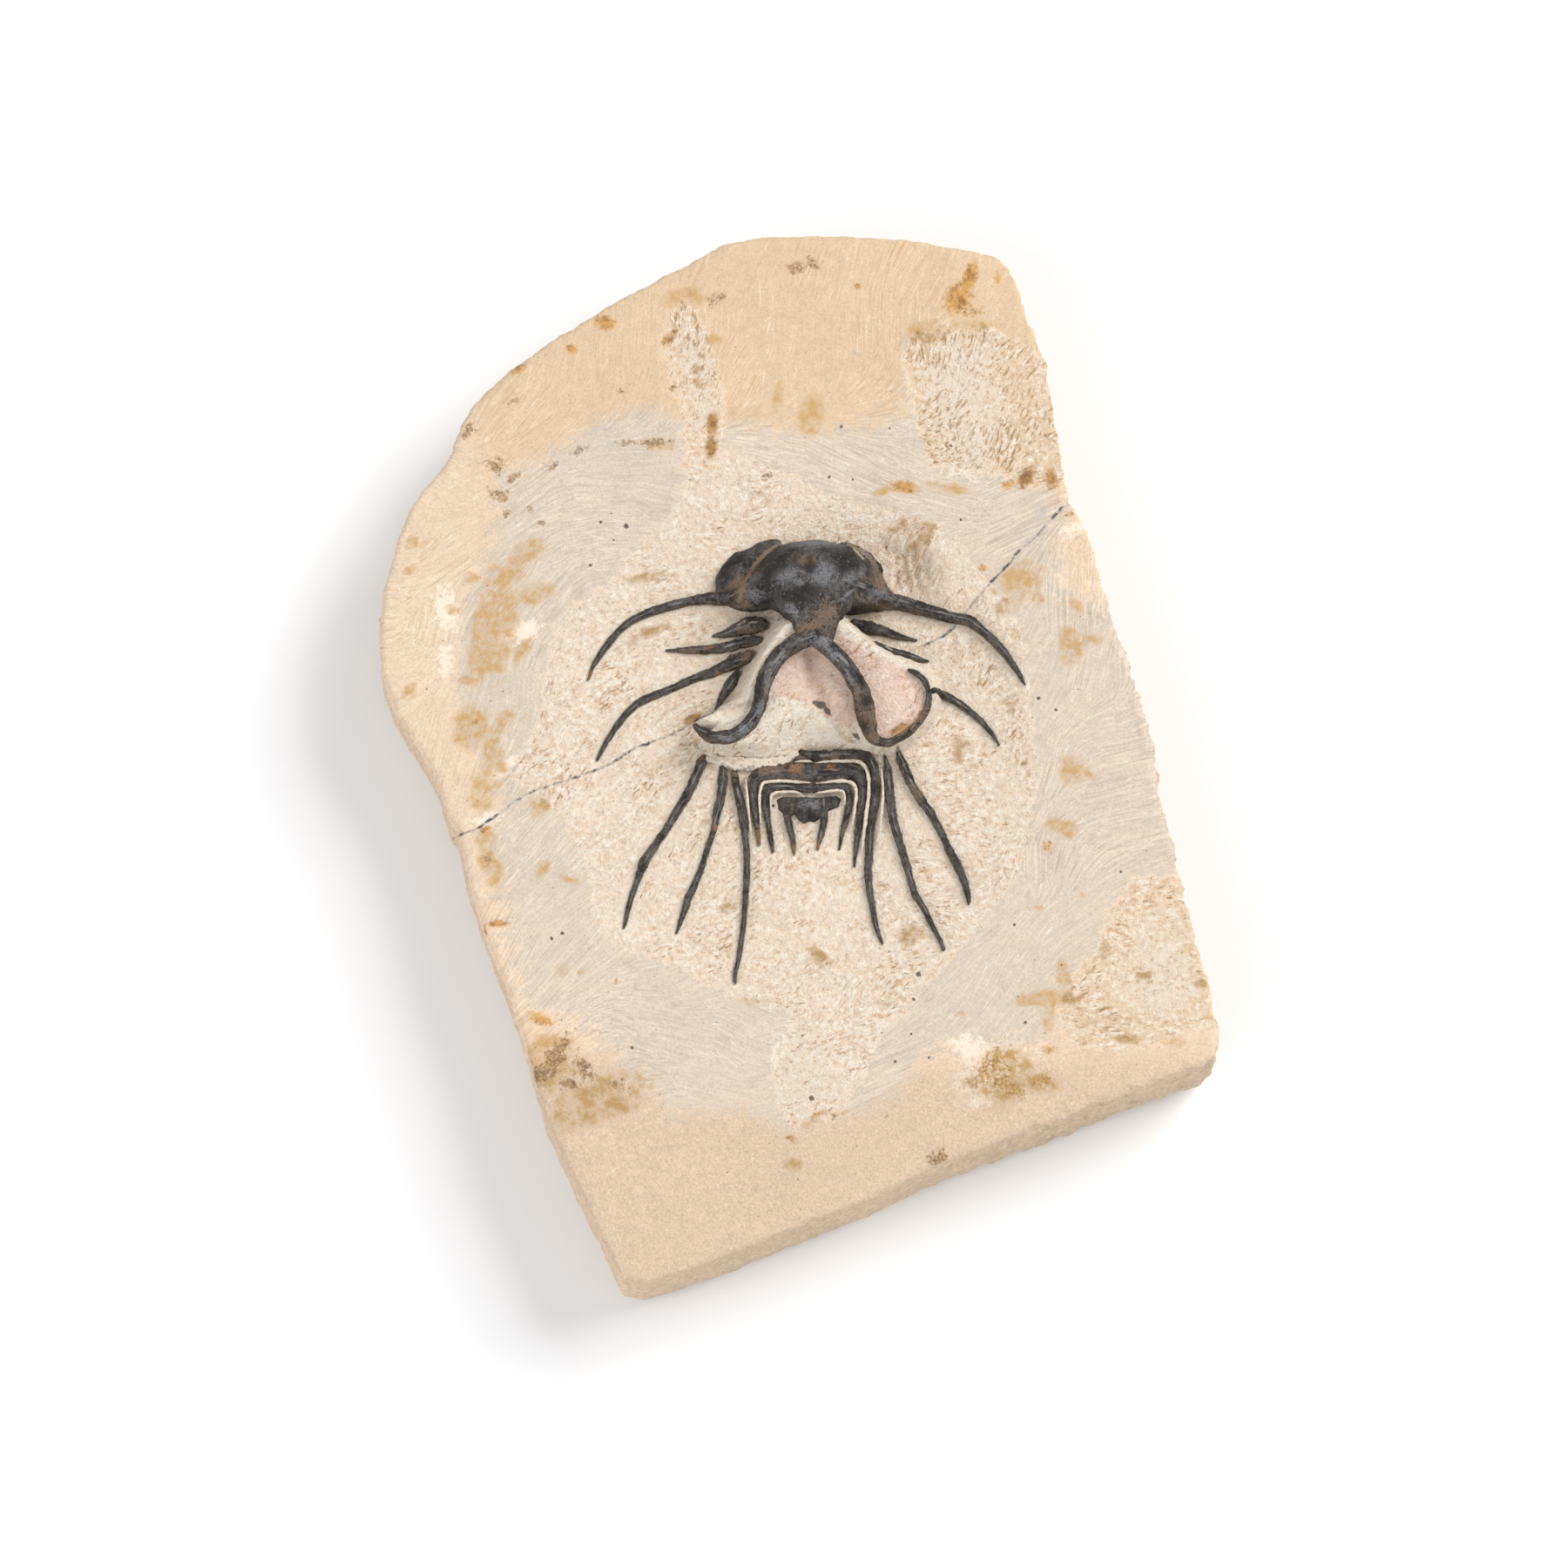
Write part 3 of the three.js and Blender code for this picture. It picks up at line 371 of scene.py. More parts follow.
def lay_on_stone(run, lift, clearance, widen=1.0):
    """A sighted run as true points on the stone: x, y, z, half width."""
    laid = []
    for x, sighted_y, width in run:
        y = sighted_y
        for _ in range(LAY_ROUNDS):
            z = float(stone_height(x, y)) + clearance + lift * width
            y = plumb(sighted_y, z)
        laid.append((x, y, z, width * widen / 2))
    return laid


# ---- fields painted on the meshes ----------------------------------------------------------
# Zones of the face, as closed loops on the sighted plan.
WEATHERED_ZONE = [
    [(-56, 44), (-44, 44), (-38, 46), (-34, 49), (-28, 52.5), (-22, 54), (-16, 52), (-8, 51.5),
     (0, 50), (6, 50.5), (12, 51.5), (16, 52.5), (17.5, 58), (17, 64), (20, 65.5), (26, 66),
     (29.5, 62), (32, 57), (33.5, 51), (34.5, 46), (37, 43), (41, 38), (60, 60), (40, 90),
     (-40, 90),
     (-70, 60)],
    [(-70, 50), (-48, 50), (-45, 40), (-46, 33), (-47.5, 28), (-51, 22), (-51, 12), (-50, 2),
     (-46, -4), (-44, -9), (-47, -14), (-44.5, -22), (-43, -30), (-40, -40), (-33, -42),
     (-27, -46), (-24, -52), (-18, -56), (-8, -55), (-2, -58), (4, -57), (9, -56), (14, -53.5),
     (19, -47.5), (24, -45), (29, -46), (38, -44.5), (40, -37), (44.5, -33.5), (48, -38),
     (52, -41.5),
     (57, -42.5), (60.3, -40), (59.5, -30), (58, -22), (70, -22), (70, -60), (-25, -95), (-80, -30)],
    [(41, 36.5), (40.5, 31), (41, 26), (44, 22), (47.5, 25), (52, 30), (47, 40)],
]
PECKED_ZONE = [
    [(-9, 47), (-16, 46.5), (-17.5, 40), (-19, 36.5), (-22, 33.5), (-24.5, 31), (-27, 27),
     (-30.5, 25), (-34, 22), (-36.5, 17), (-38, 11), (-38.5, 5), (-41, 0), (-43, -4), (-38.5, -8),
     (-35, -10), (-33, -15), (-31, -20), (-30, -27), (-26, -31), (-19.5, -33), (-15, -35),
     (-10, -38), (-4, -40), (0.5, -41), (-1.5, -46), (-3, -52), (-1, -58), (4, -57.5), (8, -54),
     (11.5, -48), (14, -43), (18, -38.5), (22, -34), (26.5, -29), (30, -25), (33, -20),
     (35, -14), (36.5, -6), (36, 2), (35.5, 10), (34.5, 18), (33, 23), (29, 27), (26, 31.5),
     (22, 35), (18, 37), (12, 38.5), (6, 40), (1, 42), (-4, 44.5)],
    [(18, 66), (22, 66.5), (30, 67), (36, 64), (45, 56), (45, 43), (38, 41.5), (33, 42.5), (27, 44),
     (21, 45), (19.5, 50), (17.5, 56), (16.5, 62)],
    [(-17, 73), (-13.5, 66), (-11, 58), (-11, 50), (-12.5, 44), (-17, 45), (-16.5, 52),
     (-19, 59), (-20.5, 66)],
    [(51, -20), (57, -19.5), (62, -22), (66, -40), (62, -43), (56, -44.5), (48, -46.5),
     (41, -45.5), (39.5, -41), (41, -36), (45, -32), (46.5, -27), (49, -22.5)],
]
PINK_ZONE = [
    [(2, 16), (-1, 14.5), (-2.6, 12), (-3.4, 9.5), (-3.6, 8), (-1.5, 8.2), (0.5, 7.3), (2, 7.5),
     (3, 7.2), (4, 5.5), (5.5, 4.5), (7, 3.8), (8.5, 3), (9.5, 7), (8.5, 10.5), (6.8, 13),
     (4.5, 15.6)],
    [(5.5, 19), (8, 17.2), (10, 15.6), (13.5, 14), (17, 12.6), (19.4, 10.5), (19.9, 8),
     (19.4, 5.5), (17.3, 3.3), (15, 2), (13, 1.5), (11.5, 6.7), (11, 9), (9.8, 11.7), (7.5, 14.3)],
]
# Blots: sighted x, sighted y, half length, half width, turn in degrees, strength.
TAN_STAINS = [
    (-45.5, 20, 8, 3.2, 84, 1), (-43.5, 27.3, 3.6, 1.6, 38, 0.9),
    (-39.5, 24.5, 2.6, 1.4, 20, 0.7), (-48, 14.5, 4, 1.6, 88, 0.9),
    (-40.8, 31, 2.8, 1.7, 30, 0.6), (-49.5, 27, 1.1, 0.8, 0, 0.8), (-49, 3.4, 3.2, 2.6, 80, 1),
    (-45.3, -0.8, 3.6, 1.4, 110, 0.7), (-46.8, -6, 3.2, 2, 70, 0.7), (-44, 4.5, 2, 1.1, 60, 0.5),
    (-52, 22, 1, 0.8, 0, 0.7), (-58.3, 32.6, 1.2, 0.9, 60, 0.9),
    (-58.7, 28.3, 1.1, 0.6, 40, 0.7), (-50, 10.8, 1.1, 0.7, 0, 0.7),
    (-58.4, 9, 1.4, 0.9, 60, 0.5), (-17, 71.8, 3.2, 1.4, 10, 0.6),
    (-15, 60.4, 0.9, 0.8, 90, 0.9), (-14.8, 58.1, 0.9, 0.8, 0, 1),
    (-12.8, 65, 1.2, 0.8, 20, 0.9), (-46, 17, 3, 1.5, 100, 0.6), (-41.2, 15.5, 2.5, 1, 60, 0.45),
    (-38.6, -8.7, 1.7, 1.4, 60, 0.6), (-46.6, -14, 1.5, 1.3, 0, 0.8),
    (-45.6, -18, 3.4, 1.5, 110, 0.6), (-37.9, -18.6, 1.4, 0.9, 70, 0.55),
    (-33.9, -20.2, 1.6, 0.6, 160, 0.7), (-36.6, -48, 4.6, 3.6, 120, 0.75),
    (-29, -54, 7, 3, 20, 0.45), (-34.8, -34, 1.2, 0.8, 50, 0.4), (-22.5, 27, 2.6, 0.8, 10, 0.4),
    (-21.6, 18.5, 2.4, 0.7, 20, 0.45), (-24.5, 17, 1.6, 0.6, 40, 0.4),
    (20.5, 66.6, 3.4, 1.4, 8, 0.7), (28, 67.4, 4, 0.8, 2, 0.5), (23.3, 41.2, 3, 0.9, 172, 0.55),
    (14, 40.9, 2, 0.6, 20, 0.7), (34.4, 26.8, 3.4, 2.4, 20, 0.6),
    (32.4, 22.6, 1.8, 1.4, 30, 0.5), (37, 24, 1.8, 0.9, 100, 0.4), (42, 16, 2.6, 1.6, 80, 0.6),
    (45, 17, 1.6, 0.9, 10, 0.5), (41.5, 18.2, 1.4, 1, 0, 0.45), (25, 0.8, 1.5, 1.3, 60, 0.65),
    (24.7, -1.4, 1.3, 0.9, 60, 0.55), (42, -3.3, 2.1, 1.9, 140, 0.7),
    (44.5, -4, 1.4, 0.6, 150, 0.5), (19.2, 33.6, 2.4, 1.5, 60, 0.45),
    (16.5, 35.5, 1.8, 1, 20, 0.4), (2.6, 53, 3, 1.7, 80, 0.35),
    (40.4, -12.2, 2.2, 1.3, 170, 0.75), (39.2, -11.2, 1, 0.6, 0, 0.6),
    (17.4, -28.8, 1.7, 1.4, 60, 0.6), (3.8, -32.4, 1.8, 1.1, 150, 0.7),
    (-6, -39, 2.5, 0.8, 5, 0.5), (24.7, -40.8, 0.8, 0.5, 0, 0.7), (38.4, -38.4, 4, 1.3, 2, 0.95),
    (40.4, -35.6, 2.6, 1, 100, 0.7), (38, -41.8, 1.8, 0.9, 80, 0.55),
    (34.6, -38.6, 1.4, 0.9, 20, 0.5), (31.5, -50.4, 4.4, 3.2, 60, 0.9),
    (36.5, -51.3, 2.8, 1.6, 0, 0.6), (57, -45.2, 1.3, 0.8, 10, 0.7),
    (52.4, -35, 1.3, 0.6, 0, 0.5), (60.6, -36.3, 1.1, 0.6, 10, 0.8),
    (46.6, -31, 0.9, 1.6, 0, 0.35), (49.8, -44.6, 1.6, 0.8, 0, 0.4),
    (-2.5, 56, 2.2, 0.8, 80, 0.3), (-0.5, -63.9, 1.3, 1, 0, 0.8), (2, -57.5, 1.2, 0.8, 20, 0.6),
    (-20.5, 47.8, 2.2, 0.7, 0, 0.3), (36.6, -24.5, 0.9, 0.4, 0, 0.8),
    (-10, -24.5, 1.4, 0.8, 30, 0.35), (-31.6, -34, 1, 0.5, 40, 0.3), (33, 7, 1.6, 0.8, 80, 0.3),
    (43, 22.5, 1.4, 0.8, 120, 0.4),
]
RUST_STAINS = [
    (15.6, 3.2, 1.7, 0.5, 35, 0.9), (25.2, 71.6, 2.2, 1.8, 60, 1), (26.8, 74.6, 3, 1, 72, 1),
    (24.6, 73, 1, 0.7, 0, 0.8), (16.9, 41.4, 2, 0.9, 172, 0.9), (35.4, 42.9, 1.7, 1, 60, 0.9),
    (39.3, 42.6, 1.5, 0.8, 100, 0.6), (32.7, 41.8, 1, 0.6, 20, 0.7),
    (-12.6, 51.6, 1.7, 0.8, 88, 1), (-12.7, 47.8, 1.7, 0.8, 84, 1),
    (-29.2, 67.9, 1.4, 1, 160, 0.9), (-34.3, 63.5, 0.8, 0.7, 0, 0.9),
    (-42.4, 60.3, 1.4, 0.7, 40, 0.5), (-18.5, 66.2, 0.7, 0.5, 60, 0.9),
    (-19.6, 65, 1.1, 0.6, 40, 0.8), (28.6, 28.6, 0.6, 0.5, 0, 0.9),
    (-48.1, 4.6, 0.7, 0.5, 60, 0.7), (5, -56, 2.3, 0.4, 6, 1), (-38, -41.7, 1.8, 0.8, 160, 0.8),
    (-44.6, -27, 1.6, 0.5, 0, 0.8), (-46.8, -28.2, 0.9, 0.5, 110, 0.8),
    (38.1, -46.2, 1.1, 0.5, 20, 0.8), (-46.6, -12.6, 1, 0.5, 30, 0.7),
    (31.4, 75, 0.9, 0.4, 90, 0.8), (-15.6, 4.8, 1.4, 0.6, 30, 0.8),
    (-26.8, -35.9, 0.5, 0.3, 0, 0.9), (9.8, 73.6, 0.6, 0.5, 0, 0.7),
    (1.8, 50.4, 0.4, 0.4, 0, 0.6), (43.3, -22.6, 0.5, 0.3, 0, 0.7),
    (-0.4, -59.8, 0.9, 0.5, 0, 0.6),
]
GRIME_STAINS = [
    (0.6, 76.8, 1.5, 0.8, 10, 0.9), (2.9, 77.4, 1, 0.9, 0, 0.8), (-12, 71.6, 1.3, 0.8, 40, 0.7),
    (-45.8, 44.8, 1.2, 1, 30, 0.8), (-43, 43, 1, 0.5, 30, 0.8),
    (-45.2, 40.3, 1.5, 0.8, 160, 0.8), (-44, 37, 0.9, 0.5, 30, 0.6),
    (-50.1, 50.3, 1.2, 0.7, 60, 0.8), (-43.2, 55.2, 1, 0.4, 30, 0.6),
    (-21.4, 48.6, 2.2, 0.6, 4, 0.9), (-25.8, 48.4, 1.2, 0.4, 5, 0.8),
    (-33, 47.2, 1.2, 0.5, 30, 0.7), (-37.3, 44.6, 1, 0.6, 40, 0.8),
    (-18.6, 57.3, 0.7, 0.5, 0, 0.8), (-26.5, 56.7, 0.6, 0.4, 90, 0.6),
    (27.1, 69.7, 1.6, 0.7, 0, 0.7), (-35.5, -47, 3, 1.2, 60, 0.7), (-31.6, -49, 2, 1, 120, 0.7),
    (-37.8, -50, 2.2, 1.2, 30, 0.7), (-33.5, -51.5, 1.4, 0.7, 0, 0.6),
    (29.6, -49.2, 3, 1.8, 50, 0.2), (27, -51, 1.6, 1, 20, 0.2),
    (32.6, -52.3, 1.8, 0.8, 150, 0.7), (36.6, -51.4, 1.8, 0.6, 20, 0.6),
    (31.8, -47.4, 1.2, 0.6, 20, 0.6), (38.1, -15.2, 0.8, 0.75, 60, 1),
    (-46.2, -16.8, 0.9, 0.5, 80, 0.5), (-26.4, -51.4, 1.3, 0.4, 10, 0.8),
    (-25, -53, 0.8, 0.4, 30, 0.7), (42.4, 37.1, 0.8, 0.35, 10, 0.9),
    (21.3, -62.7, 1.4, 1, 20, 0.5), (5.4, -56.1, 1.4, 0.25, 8, 0.7),
    (-3.9, 43.2, 0.8, 0.4, 0, 0.5), (-38.5, 35.6, 0.7, 0.4, 0, 0.6),
    (-40.5, 38, 0.6, 0.4, 0, 0.6), (34.8, -2.2, 0.5, 0.4, 70, 0.8),
]
BLUE_SMUDGES = [
    (-23, 53.6, 3, 1.1, 38, 0.7), (-29.5, 50.6, 3.2, 0.9, 20, 0.7),
    (-34.5, 46.4, 3, 0.9, 40, 0.6), (-27, 48.2, 2, 0.5, 5, 0.6), (9.4, 63.1, 1, 0.6, 60, 0.9),
    (12.7, 64.8, 1.1, 0.6, 30, 0.9), (27.6, 70, 1.2, 0.5, 0, 0.6),
    (23.3, 72.5, 0.9, 0.6, 80, 0.5), (38.5, 37.6, 3, 1, 30, 0.5), (37, 34.4, 2.4, 1, 40, 0.6),
    (-44, -9.5, 4, 0.7, 28, 0.5), (-49.8, 12.5, 0.5, 1.6, 0, 0.4), (-49.3, 19, 0.5, 2.6, 0, 0.4),
]
PALE_CHIPS = [
    (30, -49.5, 5, 3.2, 20, 0.9), (26.5, -46.6, 2.4, 1.2, 20, 0.7), (29, 62, 5, 1.6, 80, 0.3),
    (-41.5, 18.4, 2.8, 1.5, 20, 1), (-53, 22, 3.4, 1.6, 100, 0.6), (25, 57, 8, 4.6, 100, 0.4),
    (27, 47, 4, 3, 20, 0.5), (-44, -3, 3, 0.8, 45, 0.6), (25.6, -45.4, 2, 1.4, 20, 0.8),
    (29, -53.5, 3, 1, 20, 0.6), (-15.5, 62, 5, 2.2, 100, 0.6), (-14, 54, 4, 1.8, 90, 0.5),
    (1, -50, 6, 3.4, 100, 0.25), (-46.5, -10.8, 2.5, 0.8, 20, 0.6),
    (55, -36, 5, 3.5, 90, 0.3), (42.5, 34.5, 1.6, 1, 30, 0.2), (-53, 14, 2.5, 1, 90, 0.5),
]
DARK_DOTS = [
    (-25.7, 35.2, 0.4), (-29.6, 35.8, 0.25), (-31.1, 29, 0.25), (-27.6, 33, 0.18),
    (-36.5, -29.3, 0.28), (-34.9, -28.5, 0.28), (-24.3, -46, 0.25), (25.4, 36.2, 0.2),
    (24, 48, 0.22), (7.2, 51.1, 0.25), (5.3, 43, 0.26), (8.9, 42.6, 0.18), (2.5, -53.7, 0.4),
    (15, -48.1, 0.26), (17.8, -38.6, 0.26), (34.5, -42.2, 0.28), (17.4, -43.9, 0.2),
    (49.1, -19, 0.22), (-3.2, -8.8, 0.3), (37, 8, 0.3), (-7.9, 22.7, 0.25), (39.6, 6.2, 0.25),
    (-28, 37.2, 0.15), (20, -47.5, 0.22), (14.6, 50.8, 0.18), (40, -33.4, 0.18),
    (33, -27.2, 0.25), (18.6, -34.8, 0.4),
]
CRACK_RUNS = [
    [(-53, -14.6), (-51.4, -13.6), (-48.1, -12.5), (-44.7, -10.1), (-41.9, -7.8), (-38.6, -6.1),
     (-33.5, -4.5), (-30, -3.2), (-28, -2.3), (-26, -1), (-24, 0.4), (-22, 1), (-19.5, 2),
     (-17, 3.2), (-15.5, 4.4), (-13.5, 5.2), (-12, 6), (-11, 7.2)],
    [(17.5, 15.5), (18.8, 16), (21, 17), (23, 18), (24.4, 19.3), (26, 21.5), (28, 24),
     (29.5, 25.8), (31.5, 27.9), (33, 29.5), (34, 31), (37, 33.6), (38.7, 35.8), (40.9, 38.1),
     (44, 39.5)],
]
HAIRLINES = [
    [(20.2, -48.5), (19.5, -50.5), (17.8, -52.5), (15.6, -54), (13.7, -56.5), (11, -58), (8.6, -57.3)],
    [(26.2, -24.3), (26.4, -25.6), (27.1, -27.2)], [(20.4, -44), (20.3, -48.5)],
    [(-29, -46.8), (-27.6, -49.4), (-26.8, -50.8)],
]
# Shade in the hollow between the horns, and patches on the calcite.
HOLLOW_SHADE = [(3.4, 14.8), (4.4, 12), (5.2, 9), (6.4, 6.4), (8.4, 3.6)]
BROWN_CALCITE = [
    (-8.3, 25.4, 2.2, 0.9, 95, 1), (-7.6, 22.7, 1.1, 0.6, 170, 0.9),
    (4.8, 20.8, 2, 1.6, 60, 0.9), (2.3, 19.3, 1.8, 0.9, 20, 0.8), (-9.3, -3.4, 0.9, 1, 0, 1),
    (-3.4, -3.1, 2.4, 0.7, 6, 0.9), (18.4, -6.6, 1.2, 0.8, 120, 1),
    (10.9, 4.4, 2.6, 1.5, 100, 0.9), (11.6, 2, 1.2, 1.3, 0, 0.9), (9.8, 8.6, 1.6, 0.9, 110, 0.6),
    (-4.7, 9.2, 1.2, 0.6, 80, 0.6), (12.8, 26.4, 1.8, 0.7, 110, 0.6),
    (-6.6, 15.4, 1.6, 0.7, 20, 0.8), (-7.4, 19, 1.2, 0.5, 20, 0.6),
    (8, -12.6, 1.5, 0.6, 80, 0.6), (1.8, 29.4, 0.8, 1.2, 60, 0.7),
    (-15.9, 15.4, 1.4, 0.5, 0, 0.6), (19.2, 5, 2, 0.6, 60, 0.6), (-12.4, 4, 1, 0.5, 0, 0.5),
    (5.8, -1.1, 1, 0.5, 0, 0.7), (0.4, -1.2, 0.9, 0.6, 0, 0.7),
]
ORANGE_CALCITE = [
    (0.2, -3, 1.1, 0.8, 20, 1), (5.4, -2.8, 0.6, 0.4, 0, 0.8), (-5.5, -14, 1.6, 0.6, 95, 0.9),
    (-31.2, 11.4, 1.5, 0.7, 100, 1), (-0.1, -16.2, 1.3, 0.6, 90, 0.7),
    (3.5, -15.2, 1.1, 0.5, 75, 0.7), (16.8, 3.3, 1.8, 0.5, 38, 1),
    (18.3, 4.7, 0.9, 0.4, 60, 0.8), (2.9, 29.4, 0.6, 0.4, 60, 0.7),
    (-5.6, 27.6, 0.5, 0.3, 20, 0.8), (-12.1, -12.2, 0.5, 0.4, 0, 0.8),
    (-14.2, -0.9, 0.5, 0.9, 0, 0.6), (-7.6, 14.2, 0.5, 0.3, 30, 0.8),
    (-13, 16, 0.9, 0.3, 10, 0.6), (-11.6, 11.8, 0.5, 0.3, 30, 0.7),
]
# Pale blue-grey patches: partly the calcite's own tone and partly painted highlight, such as the strip
# along the head's front edge.
PALE_CALCITE_AND_HIGHLIGHTS = [
    (4.2, 27, 2, 1.5, 70, 1), (-1.4, 27, 1.5, 1.2, 20, 1), (0.9, 26, 0.6, 0.6, 0, 0.9),
    (8.3, 26.8, 1.3, 0.8, 60, 0.7), (10, 27.6, 0.8, 0.5, 60, 0.8), (-5.8, 27, 1.1, 0.5, 20, 0.7),
    (8, 24.1, 1.5, 0.22, 38, 1), (5, 28, 1.3, 0.28, 20, 0.9), (-0.4, 21.6, 1.1, 0.7, 130, 0.7),
    (3.4, 16.6, 1.6, 0.6, 20, 0.7), (5.6, 14.8, 1.6, 0.5, 130, 0.8),
    (-2.8, 13.6, 1.4, 0.5, 50, 0.7), (-4.2, 10, 2, 0.5, 80, 0.8), (-5.2, 6.6, 1.2, 0.5, 70, 0.8),
    (-7.6, 2.9, 1.6, 0.6, 40, 0.8), (8.7, 10.6, 1.7, 0.5, 120, 0.8),
    (9.9, 7.6, 0.9, 0.4, 110, 0.7), (-10, 1.6, 1.2, 0.4, 0, 0.6), (3, 32.4, 4.5, 0.7, 0, 0.7),
    (10.4, 31, 1.2, 0.5, 140, 0.6), (-6.5, 24, 1.4, 1, 0, 0.5), (12.6, 24.2, 1.4, 0.9, 20, 0.5),
    (2.4, -8.6, 1, 0.9, 0, 0.6),
]
CREAM_BIT_WIDTH = 0.15
CREAM_BITS = [
    [(9, 31.5), (9.5, 31), (10, 30.4), (10.4, 29.9)],
    [(-4.9, 20.4), (-5.8, 20), (-7, 19.9)], [(-7.6, 20.1), (-8.6, 19.5)], [(14, 16.1), (14.8, 15.6)],
    [(12, 20.2), (12.6, 19.8)], [(-6.4, 11.9), (-7.2, 12.2), (-8.2, 12.5)],
]
TAN_LINE_WIDTH = 0.3
TAN_LINES = [
    [(-2.9, 32), (-4.4, 30.8), (-5.8, 29.2), (-7, 27.4), (-7.9, 25.4), (-8.4, 23.4)],
    [(8.4, 32.2), (10.2, 31.2), (11.6, 29.8), (12.9, 28), (13.6, 26.2)],
]
DARK_CALCITE = [
    (-3.4, 28.8, 3, 1.6, 30, 1), (7.6, 29.4, 2.6, 1.5, 150, 1), (1, 24.4, 3, 0.9, 10, 0.8),
    (2.4, 28.8, 0.7, 1.1, 0, 0.8), (-4.4, 14, 1, 0.5, 50, 0.8), (-5.3, 9.4, 1.6, 0.7, 80, 0.9),
    (9.4, 11, 1.6, 0.6, 120, 0.8), (10.6, 7.6, 1, 0.9, 100, 0.8),
    (10.3, 3.6, 1.2, 0.9, 110, 0.7), (-9.5, 29.4, 1.4, 0.8, 40, 0.7),
    (10.6, 19.2, 1.4, 0.8, 160, 0.8), (2.2, -9.6, 0.5, 0.7, 0, 0.8),
]
# Bits of calcite left on the raised stone, with a blot of painted shade in the pit of the crease, and
# the gouged stone beside the head, whose brown streaks carry painted shade of the scoop.
DARK_BITS_AND_PIT_SHADE = [
    (4, 6.9, 0.9, 0.6, 160, 1), (4.9, 6, 0.9, 0.45, 120, 1), (3.2, 7.3, 0.5, 0.35, 0, 0.9),
    # The pit in the crease: painted shade, not calcite.
    (9.3, 2, 0.8, 0.4, 140, 0.6),
    (-0.2, -0.3, 0.5, 0.25, 20, 0.7),
]
# Blots for the brown tool streaks and the painted shade of the scoop beside the head.
GOUGED_STONE = [
    (17.5, 28.5, 4.4, 3.4, 80, 1), (14.5, 32.5, 2, 2, 60, 0.8), (21, 25.5, 3, 2, 70, 0.8),
    (18.6, 33, 2.4, 1.8, 80, 0.7),
]
STONE_BLOTS = {
    "tan_stain": TAN_STAINS, "rust_stain": RUST_STAINS, "grime": GRIME_STAINS,
    "blue_smudge": BLUE_SMUDGES, "pale_chip": PALE_CHIPS, "gouged": GOUGED_STONE,
    "dark_bits_and_pit_shade": DARK_BITS_AND_PIT_SHADE,
}
CALCITE_BLOTS = {
    "brown_calcite": BROWN_CALCITE, "orange_calcite": ORANGE_CALCITE,
    "pale_calcite_and_highlights": PALE_CALCITE_AND_HIGHLIGHTS, "dark_calcite": DARK_CALCITE,
}
# A field well outside and well inside what it marks, and a distance that counts as far away.
FAR_OUT, WELL_IN, FAR_AWAY = -9, 3, 9.0
SEAM_PALENESS = 0.2  # the seams' share of the pale chips
# The slab below its lip, by height, and what takes a blot off there.
SIDE_BAND, BLOT_DROP = (17.6, 15.8), 4
WORN_LIP, WORN_HEIGHTS, WORN_SHARE, WORN_RIGHT = (3.0, 0.6), (0.3, 3), 0.6, (20, 35)
HELD_BACK = (0.0, 1.2)  # the skin stays flat up to the first height and is free from the second
RAISED_MARGIN = 0.6  # the finish of the raised stone ends this far outside its foot
# Painted shade on the left wall of the raised stone: inner edge, outer edge, x and sighted y.
WALL_INNER, WALL_OUTER, WALL_LEFT, WALL_TOP = (-0.2, 0.5), (1.8, -0.2), (-2.0, -6.5), (2.5, 4.5)
# How dark the painted shade is on the left wall and in the hollow, and how wide it is in the hollow.
WALL_SHADE = 0.2
HOLLOW_SHADE_STRENGTH, HOLLOW_WIDTH = 0.25, 1.6
# How the grinding and pecking strokes lie: sighted x, sighted y, angle in degrees.
STROKES = [
    (-30, 42, 4), (-20, 40, -3), (-8, 44, -6), (6, 46, -14), (16, 44, -18), (24, 40, -10),
    (34, 38, 35), (-42, 38, 38), (-40, 46, 48), (-30, 34, 12), (-38, 26, 60), (-42, 10, 85),
    (-56, 20, 88), (-58, 34, 70), (-52, 0, 88), (-62, 22, 0), (-61, 31, -15), (-62, 14, 10),
    (-55.5, 42, -40), (-36, -14, 48), (-40, -28, 60), (-34, -30, 42), (-20, -42, -16),
    (-8, -44, -24), (-16, -36, 20), (6, -46, 52), (2, -54, 48), (16, -44, 40), (26, -40, 46),
    (32, -36, 58), (38, -28, 50), (36, -18, 92), (37, -4, 92), (46, -8, 20), (52, -14, 24),
    (50, 2, 20), (46, 14, 84), (44, 24, 88), (42, -22, 55), (54, -30, 4), (54, -40, 2),
    (44, -44, 12), (27, -14, 2), (30, -8, 0), (24, -24, 10), (0, -28, 60), (-20, -16, 60),
    (-28, 8, 35), (-22, 24, 20), (0, 37, 30), (18, 30, 78), (26, 12, 60), (26, 56, 74),
    (30, 48, 70), (0, 62, 84), (-14, 58, 84), (-30, 60, 86), (10, 72, 88), (-20, 72, 84),
    (26, 74, 80), (-44, 54, 70), (10, -62, 18), (30, -56, 22), (50, -50, 22), (-10, -70, 20),
    (-30, -52, 60),
]
STROKE_REACH = 6  # square millimetres; softens the blend right at a known place


def along_segment(x, y, start, end):
    """How far along a segment the nearest spot lies, 0 to 1, and the offset from that spot."""
    (ax, ay), (bx, by) = start, end
    ex, ey = bx - ax, by - ay
    part = np.clip(((x - ax) * ex + (y - ay) * ey) / (ex * ex + ey * ey), 0, 1)
    return part, x - ax - part * ex, y - ay - part * ey


